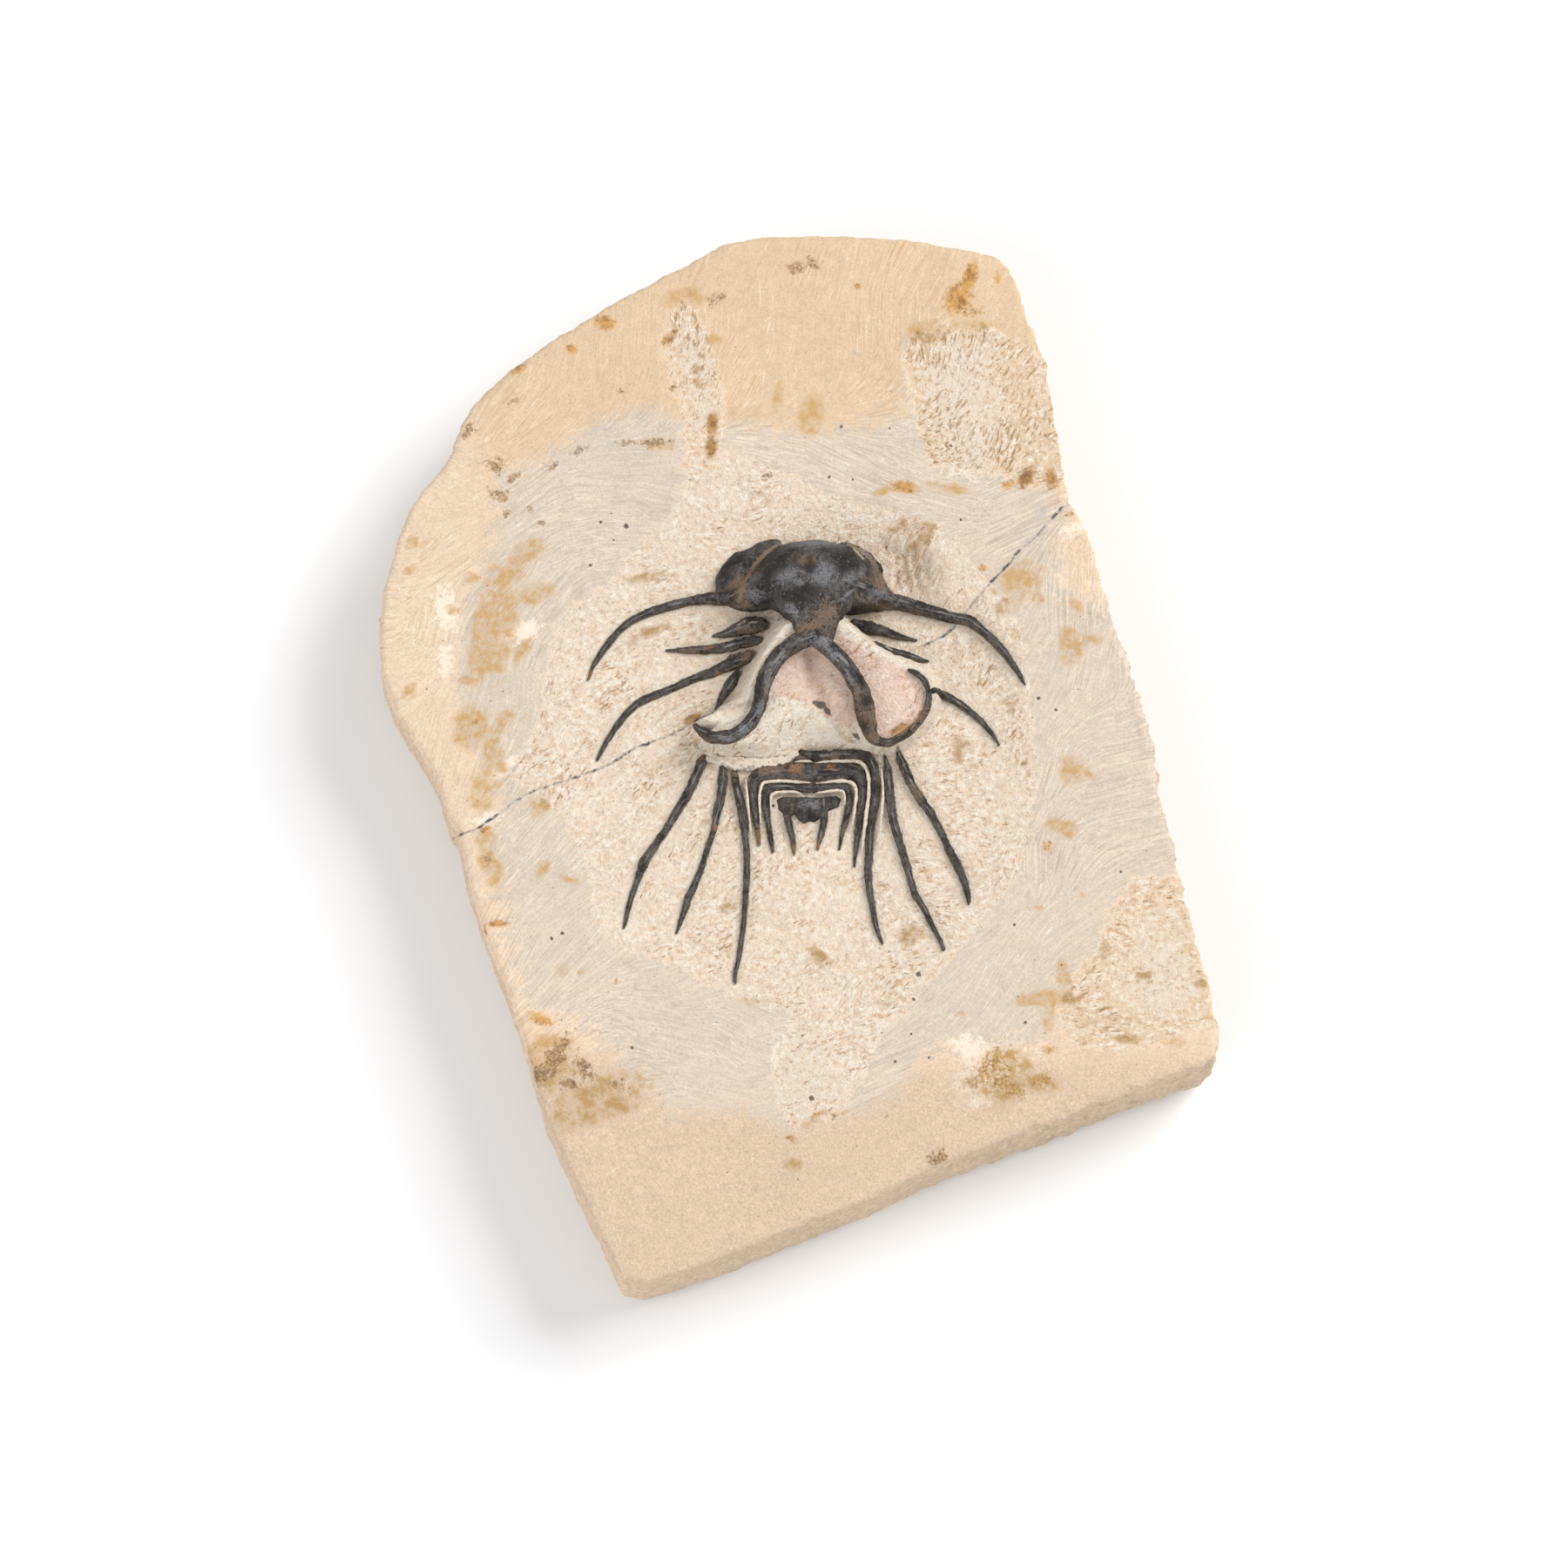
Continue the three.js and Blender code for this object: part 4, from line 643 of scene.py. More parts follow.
def inside_distance(x, y, loops):
    """Signed distance to the nearest edge of closed loops, in millimetres; positive inside."""
    best = np.full(x.shape, -1e3)
    for loop in loops:
        points = np.array(loop, float)
        nearest = np.full(x.shape, 1e6)
        inside = np.zeros(x.shape, bool)
        for (ax, ay), (bx, by) in zip(points, np.roll(points, -1, axis=0)):
            _, dx, dy = along_segment(x, y, (ax, ay), (bx, by))
            nearest = np.minimum(nearest, np.hypot(dx, dy))
            if ay != by:
                inside ^= ((ay > y) != (by > y)) & (x < (bx - ax) * (y - ay) / (by - ay) + ax)
        best = np.maximum(best, np.where(inside, nearest, -nearest))
    return best


def run_distance(x, y, runs):
    """Distance to the nearest of some open runs, in millimetres."""
    nearest = np.full(x.shape, 1e3)
    for run in runs:
        for start, end in zip(run, run[1:]):
            _, dx, dy = along_segment(x, y, start, end)
            nearest = np.minimum(nearest, np.hypot(dx, dy))
    return nearest


def blot_field(x, y, blots):
    """1 in the middle of a blot, 0 at its edge and falling on outside, times its strength."""
    field = np.full(x.shape, -1.0)
    for cx, cy, half_length, half_width, turn, strength in blots:
        cos, sin = math.cos(math.radians(turn)), math.sin(math.radians(turn))
        u = ((x - cx) * cos + (y - cy) * sin) / half_length
        v = ((y - cy) * cos - (x - cx) * sin) / half_width
        reach = 1 - np.hypot(u, v)
        field = np.maximum(field, np.where(reach > 0, reach * strength, reach))
    return field


def stroke_angle(x, y):
    """Direction of the tool strokes in radians, blended between the known places."""
    total, weights = np.zeros(x.shape), np.zeros(x.shape)
    for px, py, angle in STROKES:
        weight = 1 / ((x - px) ** 2 + (y - py) ** 2 + STROKE_REACH) ** 2
        total += weight * math.radians(angle)
        weights += weight
    return total / weights


def paint(mesh, fields):
    """Stores one number per vertex under each name, for the materials to read."""
    for name, values in fields.items():
        layer = mesh.attributes.new(name, "FLOAT", "POINT")
        layer.data.foreach_set("value", np.asarray(values, np.float32))


def vertices_mm(mesh):
    """The points of a mesh in millimetres."""
    flat = np.zeros(len(mesh.vertices) * 3, np.float32)
    mesh.vertices.foreach_get("co", flat)
    return flat.reshape(-1, 3).astype(float) / MM


# ---- node trees ----------------------------------------------------------------------------
class Net:
    """Adds nodes to one tree. An input is a number, a colour or another node's output."""

    def __init__(self, tree):
        self.tree = tree

    def add(self, kind, inputs=None, **settings):
        node = self.tree.nodes.new(kind)
        for name, value in settings.items():
            setattr(node, name, value)
        for name, value in (inputs or {}).items():
            self.feed(node.inputs[name], value)
        return node

    def group(self, tree, **inputs):
        """A shader group; its inputs are named with underscores for spaces."""
        return self.add("ShaderNodeGroup", {name.replace("_", " "): value
                                            for name, value in inputs.items()},
                        node_tree=tree).outputs

    def feed(self, socket, value):
        if isinstance(value, bpy.types.NodeSocket):
            self.tree.links.new(value, socket)
        else:
            socket.default_value = value

    def math(self, operation, *values):
        return self.add("ShaderNodeMath", dict(enumerate(values)),
                        operation=operation).outputs[0]

    def times(self, first, second):
        return self.math("MULTIPLY", first, second)

    def plus(self, first, second):
        return self.math("ADD", first, second)

    def scale_add(self, value, factor, offset):
        """The value times a factor, plus an offset."""
        return self.math("MULTIPLY_ADD", value, factor, offset)

    def rest(self, share):
        """What a share leaves of 1."""
        return self.math("SUBTRACT", 1.0, share)

    def vector(self, operation, *values):
        return self.add("ShaderNodeVectorMath", dict(enumerate(values)),
                        operation=operation).outputs[0]

    def scaled(self, vector, scale):
        return self.add("ShaderNodeVectorMath", {0: vector, "Scale": scale},
                        operation="SCALE").outputs[0]

    def parts(self, vector):
        return self.add("ShaderNodeSeparateXYZ", {0: vector}).outputs

    def joined(self, x=0.0, y=0.0, z=0.0):
        return self.add("ShaderNodeCombineXYZ", {"X": x, "Y": y, "Z": z}).outputs[0]

    def turned(self, vector, angle):
        """The vector turned back by an angle, so that a direction lies along x."""
        back = {"Vector": vector, "Angle": self.times(angle, -1.0)}
        return self.add("ShaderNodeVectorRotate", back, rotation_type="Z_AXIS").outputs[0]

    def span(self, value, low, high, to_low=0.0, to_high=1.0):
        """Smooth ramp of a value from low..high to to_low..to_high."""
        return self.add("ShaderNodeMapRange",
                        {"Value": value, "From Min": low, "From Max": high, "To Min": to_low,
                         "To Max": to_high}, interpolation_type="SMOOTHSTEP").outputs[0]

    def swing(self, vector, scale, detail=2.0, roughness=0.5):
        """Noise that swings between about -1 and 1."""
        noise = self.add("ShaderNodeTexNoise", {"Vector": vector, "Scale": scale, "Detail": detail,
                                                "Roughness": roughness}).outputs[0]
        return self.scale_add(noise, 4.0, -2.0)

    def cells(self, vector, size):
        """Random cells of a size: distance from the middle, and two random numbers of the cell."""
        scale = self.math("DIVIDE", 1.0, size)
        node = self.add("ShaderNodeTexVoronoi", {"Vector": vector, "Scale": scale})
        distance = self.times(node.outputs["Distance"], size)
        chance = self.parts(node.outputs["Color"])
        return distance, chance[0], chance[1]

    def drift(self, vector, scale, reach):
        """The vector pushed about by up to the reach on every axis."""
        noise = self.add("ShaderNodeTexNoise", {"Vector": vector, "Scale": scale}).outputs[1]
        pushed = self.scaled(self.vector("SUBTRACT", noise, (0.5, 0.5, 0.5)), reach * 2.0)
        return self.vector("ADD", vector, pushed)

    def blend(self, factor, first, second):
        """Mix of two colours."""
        node = self.add("ShaderNodeMix", data_type="RGBA", clamp_factor=True)
        for socket, value in zip((0, 6, 7), (factor, first, second)):
            self.feed(node.inputs[socket], value)
        return node.outputs[2]

    def painted(self, name):
        """A number painted on the mesh."""
        if self.tree.bl_idname == "ShaderNodeTree":
            return self.add("ShaderNodeAttribute", attribute_name=name).outputs["Fac"]
        return self.add("GeometryNodeInputNamedAttribute", {"Name": name}).outputs[0]

    def position(self):
        """The position of a geometry tree, in millimetres."""
        return self.scaled(self.add("GeometryNodeInputPosition").outputs[0], 1 / MM)

    def pushed_out(self, skin, depth):
        """The skin moved along its normals."""
        normal = self.add("GeometryNodeInputNormal").outputs[0]
        return self.add("GeometryNodeSetPosition", {
            "Geometry": skin, "Offset": self.scaled(normal, depth)}).outputs[0]


def new_tree(name, kind, inputs, outputs):
    """A node group: each input has a default or the kind of its socket, each output a kind."""
    tree = bpy.data.node_groups.new(name, kind)
    for socket_name, default in inputs.items():
        bare = isinstance(default, str)
        socket_type = "NodeSocket" + (default if bare else type(default).__name__.title())
        socket = tree.interface.new_socket(socket_name, in_out="INPUT", socket_type=socket_type)
        if not bare:
            socket.default_value = default
    for socket_name, socket_type in outputs.items():
        tree.interface.new_socket(socket_name, in_out="OUTPUT",
                                  socket_type="NodeSocket" + socket_type)
    net = Net(tree)
    return net, net.add("NodeGroupInput").outputs, net.add("NodeGroupOutput").inputs


def dress(piece, tree, values):
    """Runs a geometry tree on a piece and keeps the result as its plain mesh."""
    modifier = piece.modifiers.new(tree.name, "NODES")
    modifier.node_group = tree
    for item in tree.interface.items_tree:
        if item.item_type == "SOCKET" and item.in_out == "INPUT" and item.name in values:
            modifier[item.identifier] = values[item.name]
    return settle(piece)


def settle(piece):
    """A plain mesh object in place of one with modifiers, or of a curve."""
    bpy.context.view_layer.update()
    depsgraph = bpy.context.evaluated_depsgraph_get()
    mesh = bpy.data.meshes.new_from_object(piece.evaluated_get(depsgraph), depsgraph=depsgraph)
    name = piece.name
    bpy.data.objects.remove(piece)
    return new_object(name, mesh)


def new_object(name, data):
    """An object of a mesh, curve, light or camera, in the scene."""
    data.name = name
    thing = bpy.data.objects.new(name, data)
    bpy.context.scene.collection.objects.link(thing)
    return thing


def mesh_piece(name, points, faces):
    """A mesh object out of points in millimetres."""
    mesh = bpy.data.meshes.new(name)
    mesh.from_pydata([tuple(point) for point in np.asarray(points) * MM], [], faces)
    mesh.update()
    return new_object(name, mesh)


# ---- geometry trees ------------------------------------------------------------------------
def close_tree(net, skin, material, result):
    """Every tree ends alike: smooth faces, instances made real, its material set."""
    skin = net.add("GeometryNodeSetShadeSmooth", {"Geometry": skin}).outputs[0]
    skin = net.add("GeometryNodeRealizeInstances", {"Geometry": skin}).outputs[0]
    skin = net.add("GeometryNodeSetMaterial", {"Geometry": skin, "Material": material}).outputs[0]
    net.feed(result["Geometry"], skin)
    return net.tree


def swept_bar_tree():
    """A bar along a curve: as thick as the curve's radius, flat-topped, with ragged edges."""
    net, given, result = new_tree("Swept bar", "GeometryNodeTree", {
        "Geometry": "Geometry", "Sides": 22, "Step": 0.22 * MM, "Crest height": 1.0,
        "Edge wander": 0.42, "Lump size": 0.8 * MM, "Lump depth": 0.07 * MM,
        "Material": "Material", "Seed": 0.0}, {"Geometry": "Geometry"})
    curve = net.add("GeometryNodeCurveSplineType", {"Curve": given["Geometry"]},
                    spline_type="CATMULL_ROM").outputs[0]
    curve = net.add("GeometryNodeResampleCurve", {"Curve": curve, "Length": given["Step"]},
                    mode="LENGTH").outputs[0]
    place = net.add("GeometryNodeInputPosition").outputs[0]
    radius = net.add("GeometryNodeInputRadius").outputs[0]
    keep = net.add("GeometryNodeCaptureAttribute", {"Geometry": curve})
    keep.capture_items.new("VECTOR", "Centre")
    keep.capture_items.new("FLOAT", "Thickness")
    net.feed(keep.inputs["Centre"], place)
    net.feed(keep.inputs["Thickness"], radius)
    ring = net.add("GeometryNodeCurvePrimitiveCircle", {"Resolution": given["Sides"], "Radius": 1.0})
    skin = net.add("GeometryNodeCurveToMesh", {
        "Curve": keep.outputs["Geometry"], "Profile Curve": ring.outputs[0],
        "Scale": radius, "Fill Caps": True}).outputs[0]

    seeded = net.vector("ADD", place, net.joined(z=given["Seed"]))
    wander = net.scale_add(net.swing(seeded, 0.8 / MM, 4.0, 0.7), given["Edge wander"], 1.0)
    parts = net.parts(net.vector("SUBTRACT", place, keep.outputs["Centre"]))
    level = net.math("DIVIDE", parts[2], net.math("MAXIMUM", keep.outputs["Thickness"], 0.001 * MM))
    steep = net.math("MINIMUM", net.math("MAXIMUM", net.times(level, 1.8), -1.0), 1.0)
    flat = net.scale_add(level, 0.15, net.times(steep, 0.85))
    pressed = net.joined(net.times(parts[0], wander), net.times(parts[1], wander),
                         net.times(net.times(flat, keep.outputs["Thickness"]),
                                  given["Crest height"]))
    pressed = net.vector("ADD", keep.outputs["Centre"], pressed)
    skin = net.add("GeometryNodeSetPosition", {"Geometry": skin, "Position": pressed}).outputs[0]
    lumps = net.swing(seeded, net.math("DIVIDE", 1.0, given["Lump size"]), 3.0, 0.6)
    skin = net.pushed_out(skin, net.times(lumps, given["Lump depth"]))
    return close_tree(net, skin, given["Material"], result)


def worked_stone_tree():
    """Undulation, tool marks, grain and chipped edges on the skin of the slab."""
    net, given, result = new_tree("Worked stone skin", "GeometryNodeTree", {
        "Geometry": "Geometry", "Swell depth": 0.08 * MM, "Peck length": 2.4, "Peck width": 0.9,
        "Peck depth": 0.16 * MM, "Grain depth": 0.035 * MM, "Chip size": 3.2,
        "Chip depth": 0.6 * MM, "Side roughness": 0.16 * MM, "Side swell": 0.3 * MM,
        "Material": "Material"}, {"Geometry": "Geometry"})
    place = net.position()
    pecked = net.span(net.painted("pecked"), -0.6, 0.9)
    heading = net.math("SNAP", net.painted("stroke_angle"), 0.22)
    parts = net.parts(net.turned(net.drift(place, 0.5, 0.8), heading))
    stretched = net.joined(net.math("DIVIDE", parts[0], given["Peck length"]),
                           net.math("DIVIDE", parts[1], given["Peck width"]))
    pits = net.plus(net.math("MINIMUM", net.swing(stretched, 1.0, 3.0, 0.6), 0.3), 0.08)
    lively = net.span(net.swing(place, 0.14), -0.7, 0.5, 0.45, 1.0)
    pecks = net.times(net.times(pits, lively), net.times(pecked, given["Peck depth"]))
    swell = net.times(net.swing(place, 0.08, 2.0), given["Swell depth"])
    side = net.painted("side")
    grain_depth = net.plus(given["Grain depth"], net.times(side, given["Side roughness"]))
    grain = net.times(net.swing(place, 1.2, 3.0, 0.65), grain_depth)
    chips = net.swing(place, net.math("DIVIDE", 1.0, given["Chip size"]), 5.0, 0.75)
    chipping = net.times(net.times(chips, given["Chip depth"]), net.painted("edge_wear"))
    broken = net.times(net.times(net.swing(place, 0.22, 4.0, 0.6), given["Side swell"]), side)
    depth = net.plus(net.plus(pecks, swell), net.plus(net.plus(grain, broken), chipping))
    skin = net.pushed_out(given["Geometry"], net.times(depth, net.painted("free")))
    return close_tree(net, skin, given["Material"], result)


def granular_skin_tree():
    """Lumps and fine granules on the calcite of the head and tail."""
    net, given, result = new_tree("Granular skin", "GeometryNodeTree", {
        "Geometry": "Geometry", "Lump size": 2.2, "Lump depth": 0.12 * MM,
        "Granule spacing": 0.55, "Granule height": 0.07 * MM, "Material": "Material",
    }, {"Geometry": "Geometry"})
    place = net.position()
    cells = net.add("ShaderNodeTexVoronoi", {
        "Vector": place, "Scale": net.math("DIVIDE", 1.0, given["Granule spacing"])})
    granule = net.times(net.span(cells.outputs["Distance"], 0.1, 0.45, 1.0, 0.0),
                        net.span(net.swing(place, 0.35), -0.2, 0.5))
    lumps = net.swing(place, net.math("DIVIDE", 1.0, given["Lump size"]), 4.0, 0.62)
    depth = net.plus(net.times(lumps, given["Lump depth"]),
                     net.times(granule, given["Granule height"]))
    skin = net.pushed_out(given["Geometry"], depth)
    return close_tree(net, skin, given["Material"], result)


# ---- shader groups and materials -------------------------------------------------------------
def srgb(red, green, blue):
    """A colour given as it looks, 0 to 255, for a shader socket."""
    parts = [value / 255 for value in (red, green, blue)]
    linear = [part / 12.92 if part <= 0.04045 else ((part + 0.055) / 1.055) ** 2.4
              for part in parts]
    return (*linear, 1)


def ragged_mask_group():
    """A mask out of a painted field, its edge broken up by noise."""
    net, given, result = new_tree("Ragged mask", "ShaderNodeTree", {
        "Field": 0.0, "Noise": 0.0, "Raggedness": 0.5, "Softness": 0.15}, {"Mask": "Float"})
    field = net.scale_add(given["Noise"], given["Raggedness"], given["Field"])
    low = net.times(given["Softness"], -1.0)
    net.feed(result["Mask"], net.span(field, low, given["Softness"]))
    return net.tree


def stone_grain_group():
    """Clouds, blotches and sandy grain, each swinging between about -1 and 1."""
    net, given, result = new_tree("Stone grain", "ShaderNodeTree", {
        "Vector": "Vector", "Cloud scale": 0.08, "Blotch scale": 0.5, "Grain scale": 2.6,
    }, {"Cloud": "Float", "Blotch": "Float", "Grain": "Float"})
    net.feed(result["Cloud"], net.swing(given["Vector"], given["Cloud scale"], 2.0, 0.6))
    net.feed(result["Blotch"], net.swing(given["Vector"], given["Blotch scale"], 4.0, 0.68))
    net.feed(result["Grain"], net.swing(given["Vector"], given["Grain scale"], 3.0, 0.75))
    return net.tree


def stroke_marks_group():
    """Parallel strokes in patches, each patch with one direction and strength of its own."""
    net, given, result = new_tree("Stroke marks", "ShaderNodeTree", {
        "Vector": "Vector", "Direction": 0.0, "Patch size": 6.0, "Spread": 0.5, "Length": 6.0,
        "Spacing": 0.45, "Detail": 2.0}, {"Strokes": "Float"})
    _, chance, share = net.cells(net.drift(given["Vector"], 0.35, 1.2), given["Patch size"])
    jitter = net.times(net.math("SUBTRACT", chance, 0.5), given["Spread"])
    heading = net.math("SNAP", net.plus(given["Direction"], jitter), 0.22)
    parts = net.parts(net.turned(given["Vector"], heading))
    drawn = net.joined(net.math("DIVIDE", parts[0], given["Length"]),
                       net.math("DIVIDE", parts[1], given["Spacing"]),
                       net.times(net.plus(share, heading), 20.0))
    strength = net.span(share, 0.0, 1.0, 0.5, 1.2)
    net.feed(result["Strokes"], net.times(net.swing(drawn, 1.0, given["Detail"], 0.55), strength))
    return net.tree


RAGGED_MASK = ragged_mask_group()
STONE_GRAIN = stone_grain_group()
STROKE_MARKS = stroke_marks_group()


class Coat:
    """The colour of a material, laid down layer by layer."""

    def __init__(self, net, base):
        self.net = net
        self.colour = base

    def wash(self, mask, strength, pigment):
        """A pigment over the colour where a mask is: another node's output, or 0 to 255 each."""
        if isinstance(pigment, tuple):
            pigment = srgb(*pigment)
        self.colour = self.net.blend(self.net.times(mask, strength), self.colour, pigment)

    def tint(self, amount, strength):
        """Lighter or darker by strength times an amount that swings round 0."""
        self.colour = self.net.scaled(self.colour, self.net.scale_add(amount, strength, 1.0))


def new_material(name):
    """A material, its net, its shader and the place in millimetres."""
    material = bpy.data.materials.new(name)
    material.use_nodes = True
    net = Net(material.node_tree)
    object_place = net.add("ShaderNodeTexCoord").outputs["Object"]
    place = net.add("ShaderNodeMapping", {"Vector": object_place, "Scale": (1 / MM,) * 3}).outputs[0]
    return material, net, material.node_tree.nodes["Principled BSDF"], place


def feed_shader(net, shader, colour, roughness, shine, relief):
    """Colour, roughness, shine and a relief in millimetres, given to the shader."""
    bump = net.add("ShaderNodeBump", {"Strength": 1.0, "Distance": MM, "Height": relief})
    for name, value in {"Base Color": colour, "Roughness": roughness, "Specular IOR Level": shine,
                        "Normal": bump.outputs[0]}.items():
        net.feed(shader.inputs[name], value)


# Where the stone's colours change over the slab, along x or y: from none to full.
SANDY_FOOT, BROWNER_TOP, PALER_LEFT = (-42.0, -52.0), (20.0, 55.0), (-44.0, -52.0)
UPPER_HALF, OCHRE_RIGHT = (-5.0, 5.0), (20.0, 24.0)


def limestone_material():
    """Beige limestone: weathered, ground and pecked, with iron stains and a glued crack."""
    material, net, shader, place = new_material("matrix limestone")
    cloud, blotch, grain = net.group(STONE_GRAIN, Vector=place)
    rough = net.scale_add(grain, 0.35, blotch)
    crumbly = net.swing(place, 1.1, 4.0, 0.8)
    place_parts = net.parts(place)
    above_face = net.math("SUBTRACT", place_parts[2], FACE_Z)
    sighted_y = net.scale_add(above_face, math.tan(SIGHT_LEAN), place_parts[1])
    sighted_place = net.joined(place_parts[0], sighted_y)

    def mask(name, noise, raggedness, softness):
        return net.group(RAGGED_MASK, Field=net.painted(name), Noise=noise, Raggedness=raggedness,
                         Softness=softness)[0]

    def strokes(patch_size, spread, length, spacing, detail):
        return net.group(STROKE_MARKS, Vector=place, Direction=net.painted("stroke_angle"),
                         Patch_size=patch_size, Spread=spread, Length=length, Spacing=spacing,
                         Detail=detail)[0]

    def scattered(vector, spacing, radius, softness, empty):
        """Small dots, one to a cell, of a least radius and its spread; some cells stay empty."""
        distance, chance, size = net.cells(vector, spacing)
        near = net.math("SUBTRACT", net.scale_add(size, radius[1], radius[0]), distance)
        return net.times(net.span(near, -0.03, softness), net.span(chance, empty, empty + 0.02))

    # Body colour of each finish of the stone.
    raised = net.span(net.painted("raised"), 0.0, 1.0)
    pecked = mask("pecked", rough, 0.9, 0.5)
    weathered = mask("weathered", rough, 2.6, 1.8)
    side = net.span(net.painted("side"), 0.1, 0.8)
    foot_end = net.times(weathered, net.span(place_parts[1], *SANDY_FOOT))
    sandy = net.math("MAXIMUM", side, foot_end)
    browner = net.span(place_parts[1], *BROWNER_TOP)
    tan = Coat(net, net.blend(browner, srgb(218, 195, 170), srgb(208, 183, 153)))
    tan.wash(net.span(place_parts[0], *PALER_LEFT), 0.7, (215, 195, 170))
    tan.wash(sandy, 0.7, (227, 202, 175))
    uncut = net.blend(weathered, srgb(203, 189, 172), tan.colour)
    cream = net.blend(weathered, srgb(244, 225, 203), srgb(234, 208, 177))
    coat = Coat(net, net.blend(pecked, uncut, cream))
    # The raised stone's cream finish, washed lighter than the pecked cream as painted light against
    # the shade of its slopes and of the horns.
    coat.wash(raised, 0.95, (255, 243, 226))
    pink = mask("pink", rough, 0.3, 0.2)
    coat.wash(pink, 0.95, (239, 210, 194))
    # The broken side: its own stone colour, painted lighter as a painted fill light where the side
    # faces away from the lamps.
    broken_face_with_painted_fill = net.blend(net.span(crumbly, -0.7, 0.7), srgb(214, 188, 156), srgb(238, 216, 189))
    coat.wash(side, 0.8, broken_face_with_painted_fill)
    coat.tint(cloud, 0.035)
    coat.tint(blotch, 0.07)
    coat.tint(grain, net.scale_add(sandy, 0.06, 0.16))

    # Strokes of the grinding, everywhere but where the stone is pecked.
    ground = net.times(net.rest(pecked), net.rest(sandy))
    swept = strokes(15.0, 0.4, 9.0, 0.45, 3.0)
    drawn = net.scale_add(swept, 0.7, strokes(15.0, 0.4, 5.0, 0.22, 1.0))
    drawn = net.times(drawn, ground)
    coat.tint(drawn, net.scale_add(weathered, -0.06, 0.15))
    rubbed = net.times(net.span(drawn, -0.3, -1.1), weathered)
    coat.wash(rubbed, 0.5, (204, 164, 118))
    long_strokes = strokes(5.0, 0.7, 5.0, 0.24, 2.0)
    scratches = net.times(net.span(long_strokes, 0.5, 0.9), ground)
    coat.wash(scratches, 0.4, (250, 238, 222))

    # Pecks: rows of small ridges crushed light, with dusty flecks and soft tan mottles between them.
    ridges = net.scale_add(crumbly, 0.75, net.times(strokes(5.0, 0.7, 1.3, 0.75, 3.0), 0.75))
    coarse = mask("coarse", rough, 0.9, 0.5)
    inside = net.scale_add(rough, 1.2, net.painted("coarse"))
    coat.wash(net.times(coarse, net.span(inside, 5.0, 2.0, 0.45, 0.95)), 1.0, (242, 217, 187))
    patches = net.span(net.swing(place, 0.2, 2.0), -0.5, 0.6, 0.35, 1.0)
    patchy = net.math("MAXIMUM", net.times(coarse, 0.6), patches)
    crushed = net.times(pecked, net.scale_add(pink, -0.6, 1.0))
    coat.wash(net.times(net.span(ridges, 0.0, 0.5), crushed), 0.75, (255, 248, 234))
    mottled = net.times(net.span(blotch, 0.1, 0.8), pecked)
    coat.wash(mottled, 0.5, (230, 198, 152))
    flecks = net.times(net.span(ridges, -0.18, -0.55), net.times(pecked, patchy))
    coat.wash(flecks, 0.6, (208, 164, 114))
    dashes = strokes(5.0, 0.7, 1.7, 0.42, 2.0)
    dusty = net.times(net.span(dashes, 0.42, 0.7), net.times(pecked, patchy))
    coat.wash(dusty, 0.8, (170, 130, 88))
    grooves = net.times(net.span(long_strokes, -0.4, -0.9), crushed)
    coat.wash(grooves, 0.5, (204, 168, 126))
    coat.tint(crumbly, net.scale_add(net.math("MAXIMUM", pecked, sandy), 0.03, 0.06))

    # Crushed stone beside the bars of the fossil, and a dark line of painted contact shadow where they
    # meet the stone.
    beside = net.scale_add(rough, 0.12, net.painted("beside"))
    coat.wash(net.span(beside, 0.9, 0.3), 0.5, (252, 241, 222))
    # Painted contact shadow: a thin dark line right at the edge of each bar.
    coat.wash(net.span(beside, 0.12, -0.04), 0.7, (140, 112, 84))

    # Stains and smudges.
    coat.wash(mask("pale_chip", crumbly, 1.0, 0.4), 0.7, (244, 230, 212))
    upper = net.span(place_parts[1], *UPPER_HALF)
    deeper = net.times(net.span(dashes, 0.2, 0.4), net.times(coarse, upper))
    coat.wash(deeper, 0.6, (180, 138, 88))
    soaked = net.span(net.scale_add(crumbly, 0.8, blotch), -0.9, 0.7, 0.25, 1.0)
    stained = mask("tan_stain", rough, 0.45, 0.45)
    coat.wash(net.times(stained, soaked), 0.9, (188, 149, 94))
    coat.wash(mask("rust_stain", rough, 0.5, 0.7), 0.5, (208, 164, 108))
    rust = net.blend(net.span(rough, -0.6, 0.35), srgb(126, 82, 36), srgb(200, 150, 86))
    coat.wash(mask("rust_stain", crumbly, 0.75, 0.4), 0.85, rust)
    dust = net.blend(net.span(grain, -0.5, 0.4), srgb(108, 84, 58), srgb(184, 152, 112))
    ochre = net.blend(net.span(grain, -0.5, 0.4), srgb(150, 110, 56), srgb(204, 166, 108))
    dust = net.blend(net.span(place_parts[0], *OCHRE_RIGHT), dust, ochre)
    coat.wash(mask("grime", crumbly, 1.3, 0.35), 0.85, dust)
    smudge = net.times(mask("blue_smudge", rough, 0.8, 0.5), net.span(crumbly, 0.0, 0.4))
    coat.wash(smudge, 0.6, (158, 162, 168))
    # Brown tool streaks with painted shade in the scoop beside the head.
    scoop_streaks_and_shade = net.times(mask("gouged", rough, 0.5, 0.6), net.span(swept, -0.5, 0.6))
    coat.wash(scoop_streaks_and_shade, 0.5, (184, 152, 112))

